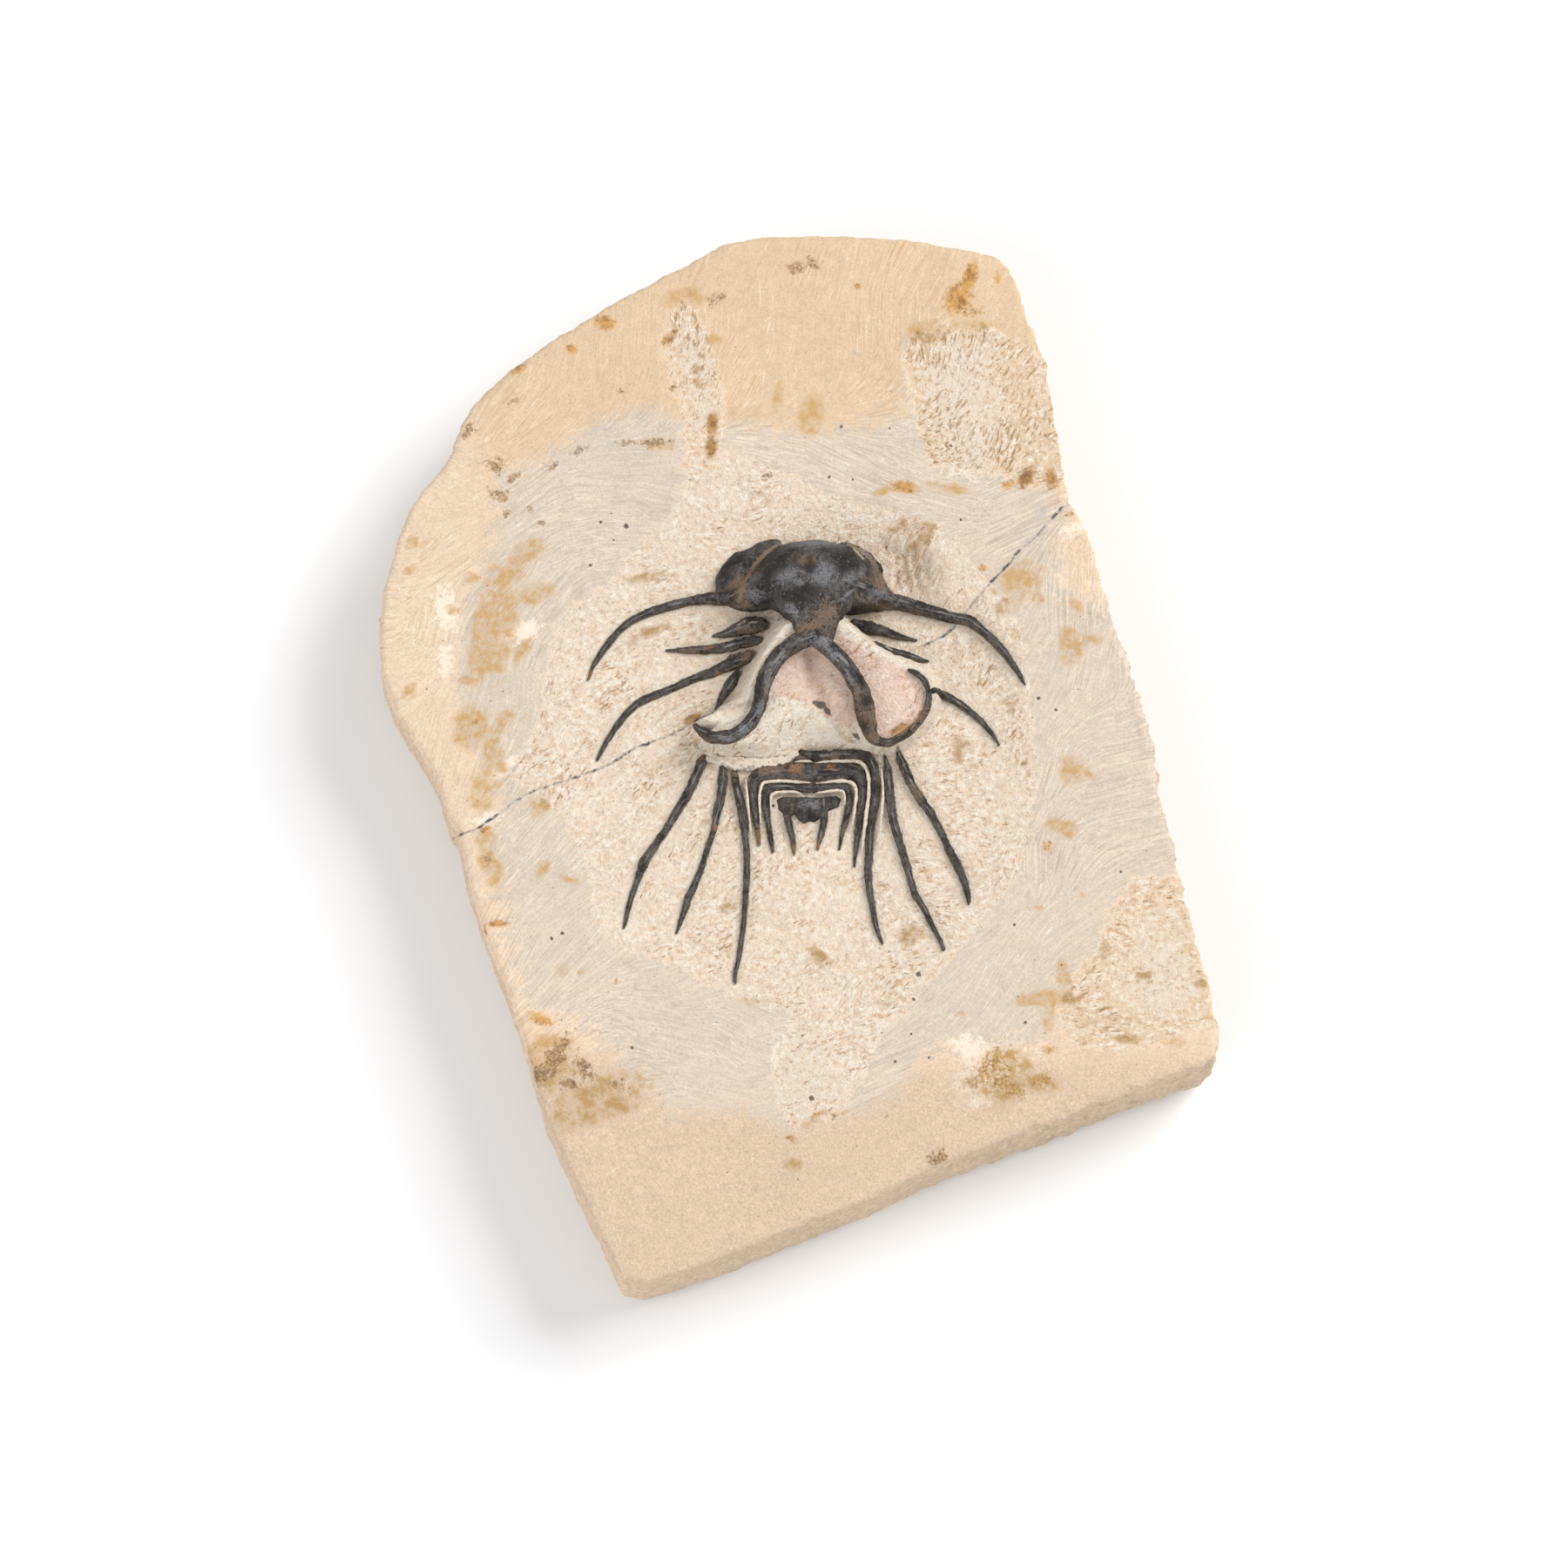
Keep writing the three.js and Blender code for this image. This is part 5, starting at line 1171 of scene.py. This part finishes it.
    # Specks here and there, and the larger dots one by one.
    specks = scattered(net.drift(place, 2.5, 0.15), 1.9, (0.05, 0.1), 0.05, 0.6)
    coat.wash(specks, 0.75, (112, 90, 70))
    pits = scattered(place, 0.9, (0.06, 0.08), 0.04, 0.8)
    coat.wash(net.times(pits, net.rest(side)), 0.5, (150, 120, 88))
    ragged_place = net.drift(sighted_place, 2.5, 0.2)
    dots = -1.0
    for x, y, radius in DARK_DOTS:
        apart = net.add("ShaderNodeVectorMath", {0: ragged_place, 1: (x, y, 0)},
                        operation="DISTANCE").outputs["Value"]
        dots = net.math("MAXIMUM", dots, net.math("SUBTRACT", radius, apart))
    coat.wash(net.span(dots, -0.06, 0.08), 0.85, (70, 58, 50))

    # The crack: a broken dark line with blue-grey glue beside it.
    uneven = net.times(rough, 0.22)
    crack = net.plus(net.painted("crack"), uneven)
    coat.wash(net.span(crack, 0.05, 0.4, 1.0, 0.0), 0.4, (146, 145, 148))
    line = net.times(net.span(crack, 0.0, 0.2, 1.0, 0.0), net.span(blotch, -0.5, 0.2, 1.0, 0.3))
    coat.wash(line, 0.9, (70, 66, 68))
    hairline = net.plus(net.painted("hairline"), net.times(uneven, 0.4))
    coat.wash(net.span(hairline, 0.03, 0.15, 1.0, 0.0), 0.6, (140, 108, 76))
    # Painted shade on the left wall of the raised stone and in the hollow between the horns.
    painted_shade = net.times(net.painted("painted_shade"), net.span(crumbly, -1.0, 0.5, 0.6, 1.0))
    coat.wash(painted_shade, 0.7, (146, 116, 84))
    # Dark calcite bits, and painted shade in the pit of the crease.
    coat.wash(mask("dark_bits_and_pit_shade", crumbly, 0.35, 0.25), 0.85, (76, 70, 68))

    # Relief too fine for the mesh.
    relief = net.times(grain, net.scale_add(net.math("MAXIMUM", pecked, sandy), 0.1, 0.015))
    ridge_height = net.times(pecked, net.scale_add(pink, -0.13, 0.19))
    relief = net.scale_add(ridges, ridge_height, relief)
    relief = net.scale_add(drawn, 0.012, relief)
    relief = net.scale_add(crumbly, net.times(raised, 0.05), relief)
    relief = net.scale_add(line, -0.15, relief)
    feed_shader(net, shader, coat.colour, 0.9, 0.2, relief)
    return material


# Patches of the calcite: painted field, raggedness, softness, strength and colour.
CALCITE_PATCHES = [
    # pale blue-grey patches, partly calcite tone and partly painted highlight
    ("pale_calcite_and_highlights", 1.1, 0.7, 0.6, (144, 145, 149)),
    ("brown_calcite", 1.0, 0.5, 0.65, (136, 112, 92)),
    ("orange_calcite", 0.9, 0.5, 0.6, (168, 122, 80)),
    ("dark_calcite", 1.0, 0.6, 0.8, (26, 24, 23)),
    ("tan_lines", 1.0, 0.6, 0.6, (158, 134, 110)),
    ("cream_bits", 0.6, 0.5, 0.7, (206, 188, 162)),
]


def calcite_material():
    """Black-grey calcite: speckled, fibrous along the spines, worn light along their crests, with a
    painted highlight along the same line.
    """
    material, net, shader, place = new_material("fossil calcite")
    cloud, blotch, grain = net.group(STONE_GRAIN, Vector=place, Cloud_scale=0.4, Blotch_scale=1.5,
                                     Grain_scale=5.0)
    rough = net.scale_add(grain, 0.5, blotch)

    def mask(name, raggedness, softness):
        return net.group(RAGGED_MASK, Field=net.painted(name), Noise=rough, Raggedness=raggedness,
                         Softness=softness)[0]

    spine = net.painted("spine")
    across = net.painted("across")
    coat = Coat(net, net.blend(net.span(cloud, -0.5, 0.5), srgb(50, 46, 45), srgb(86, 82, 80)))
    coat.wash(net.span(rough, 0.25, 0.75), 0.55, (120, 120, 123))
    coat.wash(net.span(rough, -0.15, -0.6), 0.75, (24, 21, 20))

    # Fibres along the spines, the worn line of their crest with a painted highlight on it, and the
    # browner edge.
    fibre_place = net.joined(net.times(net.painted("along"), 0.3), net.times(across, 2.6))
    fibres = net.swing(fibre_place, 1.0, 3.0, 0.6)
    coat.wash(net.times(net.span(fibres, 0.1, 0.8), spine), 0.6, (124, 119, 116))
    coat.wash(net.times(net.span(fibres, -0.1, -0.7), spine), 0.65, (28, 25, 24))
    # The crest line: the crest's wear, and a painted highlight along it.
    off_crest = net.math("ABSOLUTE", net.scale_add(fibres, 0.3, net.math("SUBTRACT", across, 0.12)))
    crest = net.times(net.span(off_crest, 0.03, 0.2, 1.0, 0.0),
                      net.span(net.swing(place, 0.35, 2.0, 0.6), -0.3, 0.5))
    coat.wash(net.times(crest, spine), 0.6, (166, 164, 164))
    rim = net.times(net.span(net.math("ABSOLUTE", across), 0.5, 0.9), net.span(rough, -0.5, 0.4))
    coat.wash(net.times(rim, spine), 0.6, (124, 102, 80))

    # Coloured patches.
    for name, raggedness, softness, strength, pigment in CALCITE_PATCHES:
        coat.wash(mask(name, raggedness, softness), strength, pigment)
    brown_dust = net.swing(place, 1.7, 2.0)
    coat.wash(net.span(brown_dust, 0.5, 0.9), 0.4, (138, 112, 86))
    coat.tint(grain, 0.5)
    # Painted glints: sparse light specks, fewer on the spines.
    _, chance, _ = net.cells(net.drift(place, 3.0, 0.2), 0.3)
    painted_glints = net.times(net.span(chance, 0.95, 0.99), net.scale_add(spine, -0.6, 1.0))
    coat.wash(painted_glints, 0.3, (160, 152, 144))
    relief = net.scale_add(grain, 0.06, net.times(blotch, 0.06))
    relief = net.scale_add(net.times(fibres, spine), 0.07, relief)
    roughness = net.span(blotch, -0.6, 0.6, 0.62, 0.88)
    feed_shader(net, shader, coat.colour, roughness, 0.3, relief)
    return material


LIMESTONE = limestone_material()
CALCITE = calcite_material()


# ---- the slab ----------------------------------------------------------------------------------
def skin_height(x, y):
    """The stone with the crease, pit and gouges that the solid leaves plain."""
    z = stone_height(x, y)
    sighted_y = y + (z - FACE_Z) * math.tan(SIGHT_LEAN)
    crease = CREASE_DEPTH * np.exp(-(run_distance(x, sighted_y, [CREASE]) / CREASE_WIDTH) ** 2)
    pit = PIT_DEPTH * np.exp(-(np.hypot(x - PIT[0], sighted_y - PIT[1]) / PIT_WIDTH) ** 2)
    gouge = GOUGE_DEPTH * np.exp(-(run_distance(x, sighted_y, GOUGES) / GOUGE_WIDTH) ** 2)
    return z - crease - pit - gouge


def ring_faces(start, spokes, next_start, next_spokes):
    """Faces between two rings of the skin; the outer one has as many spokes or twice as many."""
    faces = []
    for step in range(spokes):
        a, b = start + step, start + (step + 1) % spokes
        if next_spokes == spokes:
            faces.append((a, next_start + step, next_start + (step + 1) % spokes, b))
        else:
            c, d, e = (next_start + (2 * step + turn) % next_spokes for turn in range(3))
            faces += [(a, c, d), (a, d, b), (b, d, e)]
    return faces


def slab_rings():
    """Rings of the slab's skin from the hub out, over the edge and in below, with their kinds."""
    rings = []

    def ring(spokes, radius_of, z_of, kind):
        angles = np.arange(spokes) / spokes * 2 * math.pi - math.pi
        radius = radius_of(at_angles(angles, EDGE_RADIUS)[0])
        x, y = HUB[0] + radius * np.cos(angles), HUB[1] + radius * np.sin(angles)
        rings.append((np.stack([x, y, z_of(x, y)], 1), kind))

    for (inner, outer, step), spokes in zip(FACE_STEPS, FACE_SPOKES):
        for reach in np.arange(inner + step, outer + step / 2, step):
            ring(spokes, lambda edge: np.full(spokes, reach), skin_height, "face")
    spokes, middle, lip = FACE_SPOKES[-1], FACE_STEPS[-1][1], SLAB_SIDE[0][0] + LIP_WIDTH
    for part in np.linspace(0, 1, OUTER_RINGS + 1)[1:]:
        ring(spokes, lambda edge: middle + (edge - lip - middle) * part, skin_height, "face")
    for inset, z in SLAB_SIDE:
        follow = smoothstep(SIDE_LEVEL_Z, FACE_Z, z)
        ring(spokes, lambda edge: edge - inset,
             lambda x, y: z + (skin_height(x, y) - FACE_Z) * follow, "side")
    ring(spokes, lambda edge: edge - SLAB_SIDE[-1][0] - BACK_INSET, lambda x, y: np.zeros(spokes),
         "back")
    return rings


def beside_bars(vertices, bars):
    """Distance in plan to the nearest edge of the laid bars, in millimetres."""
    gap = np.full(len(vertices), FAR_AWAY)
    for laid in bars:
        for start, end in zip(laid, laid[1:]):
            part, dx, dy = along_segment(vertices[:, 0], vertices[:, 1], start[:2], end[:2])
            gap = np.minimum(gap, np.hypot(dx, dy) - (start[3] + (end[3] - start[3]) * part))
    return gap


def slab_piece():
    """The slab's skin, with everything that the stone material reads painted on it."""
    rings = slab_rings()
    starts = np.cumsum([0] + [len(points) for points, kind in rings])
    faces = []
    for number in range(len(rings) - 1):
        faces += ring_faces(starts[number], len(rings[number][0]), starts[number + 1],
                            len(rings[number + 1][0]))
    top, bottom = starts[-1], starts[-1] + 1
    vertices = np.vstack([points for points, kind in rings] + [[[*HUB, HUB_Z]], [[*HUB, 0]]])
    first, last = len(rings[0][0]), len(rings[-1][0])
    faces += [(top, step, (step + 1) % first) for step in range(first)]
    faces += [(bottom, starts[-2] + (step + 1) % last, starts[-2] + step) for step in range(last)]
    faces = [tuple(int(corner) for corner in face) for face in faces]
    piece = mesh_piece("limestone_slab", vertices, faces)

    x, y = sighted(vertices)
    z = vertices[:, 2]
    ring_off_face = [np.full(len(points), kind != "face") for points, kind in rings]
    off_face = np.concatenate(ring_off_face + [[False, True]])
    side = np.where(off_face, smoothstep(*SIDE_BAND, z), 0)
    angle, reach = from_hub(vertices[:, 0], vertices[:, 1])
    edge, rim, foot = at_angles(angle, EDGE_RADIUS, RIM_RADIUS, FOOT_RADIUS)
    wear = WORN_SHARE * (1 + smoothstep(*WORN_RIGHT, x)) * smoothstep(*WORN_HEIGHTS, z)
    # Painted shade: the raised stone's left wall, and the hollow between the horns.
    wall = (smoothstep(rim + WALL_INNER[0], rim + WALL_INNER[1], reach)
            * smoothstep(foot + WALL_OUTER[0], foot + WALL_OUTER[1], reach))
    left_wall = wall * smoothstep(*WALL_LEFT, vertices[:, 0]) * smoothstep(*WALL_TOP, y)
    hollow = HOLLOW_SHADE_STRENGTH * np.exp(-(run_distance(x, y, [HOLLOW_SHADE]) / HOLLOW_WIDTH) ** 2)
    bars = [lay_on_stone(run, **SPINE_LAY, widen=BAR_WIDTH)
            for run in [*SPINES.values(), *TAIL_SPINES.values(), LEFT_GENAL_SPINE, RIGHT_GENAL_SPINE]]
    paint(piece.data, {
        "side": side,
        "edge_wear": smoothstep(*WORN_LIP, edge - reach) * wear,
        "free": smoothstep(*HELD_BACK, z),
        "weathered": inside_distance(x, y, WEATHERED_ZONE),
        "pecked": inside_distance(x, y, PECKED_ZONE) + FAR_OUT * side,
        "coarse": inside_distance(x, y, PECKED_ZONE[1:]) + FAR_OUT * side,
        "pink": inside_distance(x, y, PINK_ZONE),
        "stroke_angle": stroke_angle(x, y),
        **{name: blot_field(x, y, blots) - BLOT_DROP * side for name, blots in STONE_BLOTS.items()},
        "crack": run_distance(x, y, CRACK_RUNS),
        "hairline": run_distance(x, y, HAIRLINES),
        "raised": 1 - smoothstep(rim, foot + RAISED_MARGIN, reach),
        "painted_shade": np.clip(WALL_SHADE * left_wall + hollow, 0, 1),
        "beside": beside_bars(vertices, bars),
    })
    return dress(piece, worked_stone_tree(), {"Material": LIMESTONE})


# ---- the trilobite -------------------------------------------------------------------------------
BAR_TREE = swept_bar_tree()
SKIN_TREE = granular_skin_tree()


def bar_piece(name, laid, values):
    """A swept bar through laid points (x, y, z, half width)."""
    curve = bpy.data.curves.new(name, "CURVE")
    curve.dimensions = "3D"
    spline = curve.splines.new("POLY")
    spline.points.add(len(laid) - 1)
    for point, (x, y, z, half_width) in zip(spline.points, laid):
        point.co = (x * MM, y * MM, z * MM, 1)
        point.radius = half_width * MM
    return dress(new_object(name, curve), BAR_TREE, values)


def dome_piece(name, outline, hub, rings, height_of):
    """A dome over an outline: height_of(x, y, part of the way out) gives its surface."""
    edge = np.stack(dense_loop(outline, DOME_STEPS), 1)
    count = len(edge)
    points = []
    for part in np.linspace(0, 1, rings + 1)[1:] ** RING_CROWDING:
        plan = np.array(hub) + (edge - hub) * part
        points.append(np.column_stack([plan, height_of(plan[:, 0], plan[:, 1], part)]))
    points.append(np.column_stack([edge, np.full(count, CALCITE_UNDER_Z)]))
    crown = height_of(np.array([hub[0]]), np.array([hub[1]]), 0.0)[0]
    vertices = np.vstack(points + [[[*hub, crown]], [[*hub, CALCITE_UNDER_Z]]])
    crown_at = len(points) * count
    faces = []
    for number in range(len(points) - 1):
        ring = ring_faces(number * count, count, (number + 1) * count, count)
        faces += [face[::-1] for face in ring]
    faces += [(crown_at, (step + 1) % count, step) for step in range(count)]
    faces += [(crown_at + 1, crown_at - count + step, crown_at - count + (step + 1) % count)
              for step in range(count)]
    return mesh_piece(name, vertices, faces)


def fuse(solids, voxel, relaxing):
    """One closed skin round several solids that run into each other."""
    with bpy.context.temp_override(active_object=solids[0], selected_objects=solids,
                                   selected_editable_objects=solids, object=solids[0]):
        bpy.ops.object.join()
    piece = solids[0]
    remesh = piece.modifiers.new("skin", "REMESH")
    remesh.mode = "VOXEL"
    remesh.voxel_size = voxel * MM
    relax = piece.modifiers.new("relax", "SMOOTH")
    relax.factor = RELAX_SHARE
    relax.iterations = relaxing
    return settle(piece)


def paint_calcite(piece, runs):
    """The patches of the calcite, and where each point lies along and across its spine."""
    points = vertices_mm(piece.data)
    x, y = sighted(points)
    nearest = np.full(x.shape, 1e3)
    along, across = np.zeros(x.shape), np.zeros(x.shape)
    for laid in runs:
        before = 0.0
        for (ax, ay, _, ra), (bx, by, _, rb) in zip(laid, laid[1:]):
            part, dx, dy = along_segment(points[:, 0], points[:, 1], (ax, ay), (bx, by))
            length = math.hypot(bx - ax, by - ay)
            sideways = ((bx - ax) * dy - (by - ay) * dx) / length
            width = ra + (rb - ra) * part
            apart = np.hypot(dx, dy)
            closer = apart < nearest
            nearest = np.where(closer, apart, nearest)
            along = np.where(closer, before + part * length, along)
            across = np.where(closer, sideways / width, across)
            before += length
    on_spine = smoothstep(*SPINE_SHOULDER, np.abs(across)) * smoothstep(*SPINE_REACH, nearest)
    paint(piece.data, {
        "along": along, "across": across, "spine": on_spine,
        **{name: blot_field(x, y, blots) for name, blots in CALCITE_BLOTS.items()},
        "cream_bits": 1 - run_distance(x, y, CREAM_BITS) / CREAM_BIT_WIDTH,
        "tan_lines": 1 - run_distance(x, y, TAN_LINES) / TAN_LINE_WIDTH,
    })


def head_height(x, y, part):
    """The vaulted head: middle lobe, cheeks and the furrows between them."""
    vault = HEAD_BASE_Z + HEAD_RISE * (1 - part ** VAULT_FALL) ** VAULT_CURVE
    off = np.abs(x - HEAD_HUB[0])
    furrow = FURROW_DEPTH * np.exp(-((off - FURROW_X) / FURROW_WIDTH) ** 2) * (1 - part ** 2)
    cheek = CHEEK_RISE * np.exp(-((off - CHEEK_X) / CHEEK_WIDTH) ** 2
                                - ((y - CHEEK_Y) / CHEEK_LENGTH) ** 2)
    saddle_width = SADDLE_BACK_WIDTH + SADDLE_WIDENING * (y - SADDLE_BACK_Y)
    side_fall = SADDLE_SIDE_FALL * np.abs((x - NECK[1][0]) / saddle_width) ** 3
    front_fall = SADDLE_FRONT_FALL * np.maximum(y - SADDLE_FRONT_Y, 0) ** 2
    saddle = SADDLE_Z - side_fall - front_fall
    head = vault - furrow + cheek
    return np.logaddexp(head / SADDLE_BLEND, saddle / SADDLE_BLEND) * SADDLE_BLEND


def flange_height(x, y, part):
    """The low border of a cheek, falling away from the vault."""
    reach = np.hypot((x - HEAD_HUB[0]) / FLANGE_HALF[0], (y - HEAD_HUB[1]) / FLANGE_HALF[1])
    border = FLANGE_TOP_Z - FLANGE_FALL * np.maximum(reach - FLANGE_LEVEL, 0)
    return np.maximum(border, FLANGE_LOW_Z) - FLANGE_LIP * part ** FLANGE_LIP_CURVE


def tail_height(x, y, part):
    """The tail shield: a raised middle and ribs that fan out from it."""
    off = np.abs(x - TAIL_HUB[0])
    vault = TAIL_BASE_Z + TAIL_RISE * (1 - part ** VAULT_FALL) ** VAULT_CURVE
    fan = (off + RIB_SLANT * (y - TAIL_HUB[1])) * RIB_BENDS
    ribs = RIB_HEIGHT * np.cos(fan) * (1 - part)
    axis = TAIL_AXIS_RISE * np.exp(-(off / TAIL_AXIS_WIDTH) ** 2) * (1 - part ** 2)
    return vault + ribs + axis - TAIL_SINK


def cephalon_piece():
    """The head shield with its neck, horns and genal spines, fused into one skin."""
    thick = {"Lump size": 1.5 * MM, "Lump depth": 0.1 * MM, "Edge wander": 0.14}
    slim = {"Lump size": 1.0 * MM, "Lump depth": 0.06 * MM, "Edge wander": 0.24}
    broad = {"Crest height": 0.4, "Step": 0.5 * MM, "Sides": 48, "Edge wander": 0.0}
    neck = [(x, plumb(y, crest), crest - NECK_SINK, width / 2)
            for (x, y, width), crest in zip(NECK, NECK_CREST)]
    horns = [lay_on_stone(run, **HORN_LAY) for run in (LEFT_HORN, RIGHT_HORN)]
    genal_spines = [lay_on_stone(run, **SPINE_LAY) for run in (LEFT_GENAL_SPINE, RIGHT_GENAL_SPINE)]
    solids = [
        dome_piece("calcite_cephalon", DOME_OUTLINE, HEAD_HUB, 40, head_height),
        dome_piece("left_flange", LEFT_FLANGE, LEFT_FLANGE_HUB, 24, flange_height),
        dome_piece("right_flange", RIGHT_FLANGE, RIGHT_FLANGE_HUB, 16, flange_height),
        bar_piece("neck", neck, broad),
        *[bar_piece("horn", laid, thick) for laid in horns],
        *[bar_piece("genal_spine", laid, slim) for laid in genal_spines],
    ]
    piece = fuse(solids, HEAD_VOXEL, HEAD_RELAXING)
    piece = dress(piece, SKIN_TREE, {"Material": CALCITE})
    paint_calcite(piece, horns + genal_spines)
    return piece


def pygidium_piece():
    """The tail shield with its two short spines, fused into one skin."""
    slim = {"Crest height": 0.9, "Lump size": 0.9 * MM, "Lump depth": 0.04 * MM, "Edge wander": 0.12}
    spines = [lay_on_stone(run, **SPINE_LAY) for run in TAIL_SPINES.values()]
    solids = [dome_piece("calcite_pygidium", TAIL_OUTLINE, TAIL_HUB, 16, tail_height)]
    solids += [bar_piece("tail_spine", laid, slim) for laid in spines]
    piece = fuse(solids, TAIL_VOXEL, TAIL_RELAXING)
    piece = dress(piece, SKIN_TREE, {"Material": CALCITE, "Lump depth": 0.08 * MM,
                                     "Lump size": 1.4, "Granule height": 0.05 * MM})
    paint_calcite(piece, spines)
    return piece


def broad_bands(run):
    """A segment's run, broader where it lies across the body so that the bands nearly touch."""
    broad = []
    for (ax, ay, _), (x, y, width), (bx, by, _) in zip([run[0], *run], run, [*run[1:], run[-1]]):
        lies_across = abs(bx - ax) > abs(by - ay)
        broad.append((x, y, width * (BAND_BROADER if lies_across else 1)))
    return broad


def spine_pieces():
    """The segments and spines, each a bar of its own."""
    for number, (name, run) in enumerate(SPINES.items()):
        segment = name.startswith("thorax")
        run = broad_bands(run) if segment else run
        laid = lay_on_stone(run, **SPINE_LAY, widen=BAR_WIDTH)
        piece = bar_piece(f"calcite_{name}", laid, {
            "Crest height": 0.65 if segment else 0.8, "Seed": number * SEED_STEP * MM,
            "Material": CALCITE})
        paint_calcite(piece, [laid])
        yield name, piece


def seam_pieces():
    """Light seams of stone between the segments, and the ledge above them."""
    seam = {"Crest height": 1.8, "Sides": 12, "Lump size": 0.6 * MM, "Lump depth": 0.05 * MM,
            "Edge wander": 0.5, "Material": LIMESTONE}
    ledge = {"Crest height": 0.8, "Sides": 40, "Lump size": 1.1 * MM, "Lump depth": 0.35 * MM,
             "Edge wander": 0.9, "Step": 0.15 * MM, "Material": LIMESTONE}
    pieces = [bar_piece(f"stone_seam_{number}", lay_on_stone(run, **SEAM_LAY), seam)
              for number, run in enumerate(SEAMS, 1)]
    pieces.append(bar_piece("stone_ledge", lay_on_stone(LEDGE, **LEDGE_LAY), ledge))
    levels = dict.fromkeys(("weathered", "coarse", "pink", *STONE_BLOTS), FAR_OUT)
    levels |= dict.fromkeys(("crack", "hairline", "beside"), FAR_AWAY)
    levels |= {"pecked": WELL_IN, "raised": 1, "pale_chip": SEAM_PALENESS}
    for piece in pieces:
        count = len(piece.data.vertices)
        paint(piece.data, {name: np.full(count, level) for name, level in levels.items()})
        yield piece


def build_object():
    """Every piece attached to the root, with the solid that it stands for hidden; the slot names
    listed beside the pieces are not used.
    """
    dressed = [(slab_piece(), "matrix_limestone", "matrix_slab"),
               (cephalon_piece(), "fossil_calcite", "cephalon"),
               (pygidium_piece(), "fossil_calcite", "pygidium")]
    dressed += [(piece, "fossil_calcite", name) for name, piece in spine_pieces()]
    for piece, slot, node in dressed:
        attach(piece, "root")
        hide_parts(node)
    for piece in seam_pieces():
        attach(piece, "root")


build_object()


# ---- stage, light and camera -----------------------------------------------------------------
FLOOR_HALF, FLOOR_DROP = 1200, 0.2  # millimetres
# The lights are laid out in metres.
LIGHT_TARGET = (0, 0, 0.02)
WINDOW_PLACE, WINDOW_SIZE, WINDOW_POWER = (1.4, 0.85, 1.4), 1.3, 39.5
FILL_PLACE, FILL_SIZE, FILL_POWER = (-0.75, -0.65, 0.7), 1.2, 7.5
WINDOW_COLOUR, FILL_COLOUR = (1.0, 0.99, 0.975), (0.98, 0.99, 1.0)
WORLD_STRENGTH = 0.6


def stage():
    """A pale floor just under the slab."""
    corners = [(-1, -1), (1, -1), (1, 1), (-1, 1)]
    points = [(x * FLOOR_HALF, y * FLOOR_HALF, 0) for x, y in corners]
    floor = mesh_piece("floor", points, [(0, 1, 2, 3)])
    floor.location.z = -FLOOR_DROP * MM
    material = bpy.data.materials.new("pale floor")
    material.use_nodes = True
    shader = material.node_tree.nodes["Principled BSDF"]
    shader.inputs["Base Color"].default_value = (0.86, 0.86, 0.87, 1)
    shader.inputs["Roughness"].default_value = 0.9
    floor.data.materials.append(material)


def area_light(name, place, size, power, colour):
    """A square light that shines at the object."""
    light = bpy.data.lights.new(name, "AREA")
    light.size = size
    light.energy = power
    light.color = colour
    lamp = new_object(name, light)
    lamp.location = place
    sight = Vector(LIGHT_TARGET) - Vector(place)
    lamp.rotation_euler = sight.to_track_quat("-Z", "Y").to_euler()


def lighting():
    """A large window light from the upper right, a weak one from the lower left, and the room."""
    area_light("window", WINDOW_PLACE, WINDOW_SIZE, WINDOW_POWER, WINDOW_COLOUR)
    area_light("fill", FILL_PLACE, FILL_SIZE, FILL_POWER, FILL_COLOUR)
    world = bpy.data.worlds.new("studio")
    world.use_nodes = True
    background = world.node_tree.nodes["Background"]
    background.inputs["Color"].default_value = (1.0, 1.0, 1.0, 1)
    background.inputs["Strength"].default_value = WORLD_STRENGTH
    bpy.context.scene.world = world
    bpy.context.scene.view_settings.view_transform = "Standard"


# The camera, in millimetres, looks down on the slab and leans towards its foot.
VIEW_TARGET, VIEW_DISTANCE, SENSOR_WIDTH = (-1.6, -5.4, 18.0), 900.0, 36.0
PIXELS_PER_MM, FRAME_PIXELS = 7.6, 1800


def camera():
    data = bpy.data.cameras.new("camera")
    data.sensor_width = SENSOR_WIDTH
    data.lens = PIXELS_PER_MM * VIEW_DISTANCE * SENSOR_WIDTH / FRAME_PIXELS
    eye = new_object("camera", data)
    back = Vector((0, -math.sin(SIGHT_LEAN), math.cos(SIGHT_LEAN)))
    eye.location = (Vector(VIEW_TARGET) + back * VIEW_DISTANCE) * MM
    eye.rotation_euler = (SIGHT_LEAN, 0, 0)
    bpy.context.scene.camera = eye


stage()
lighting()
camera()
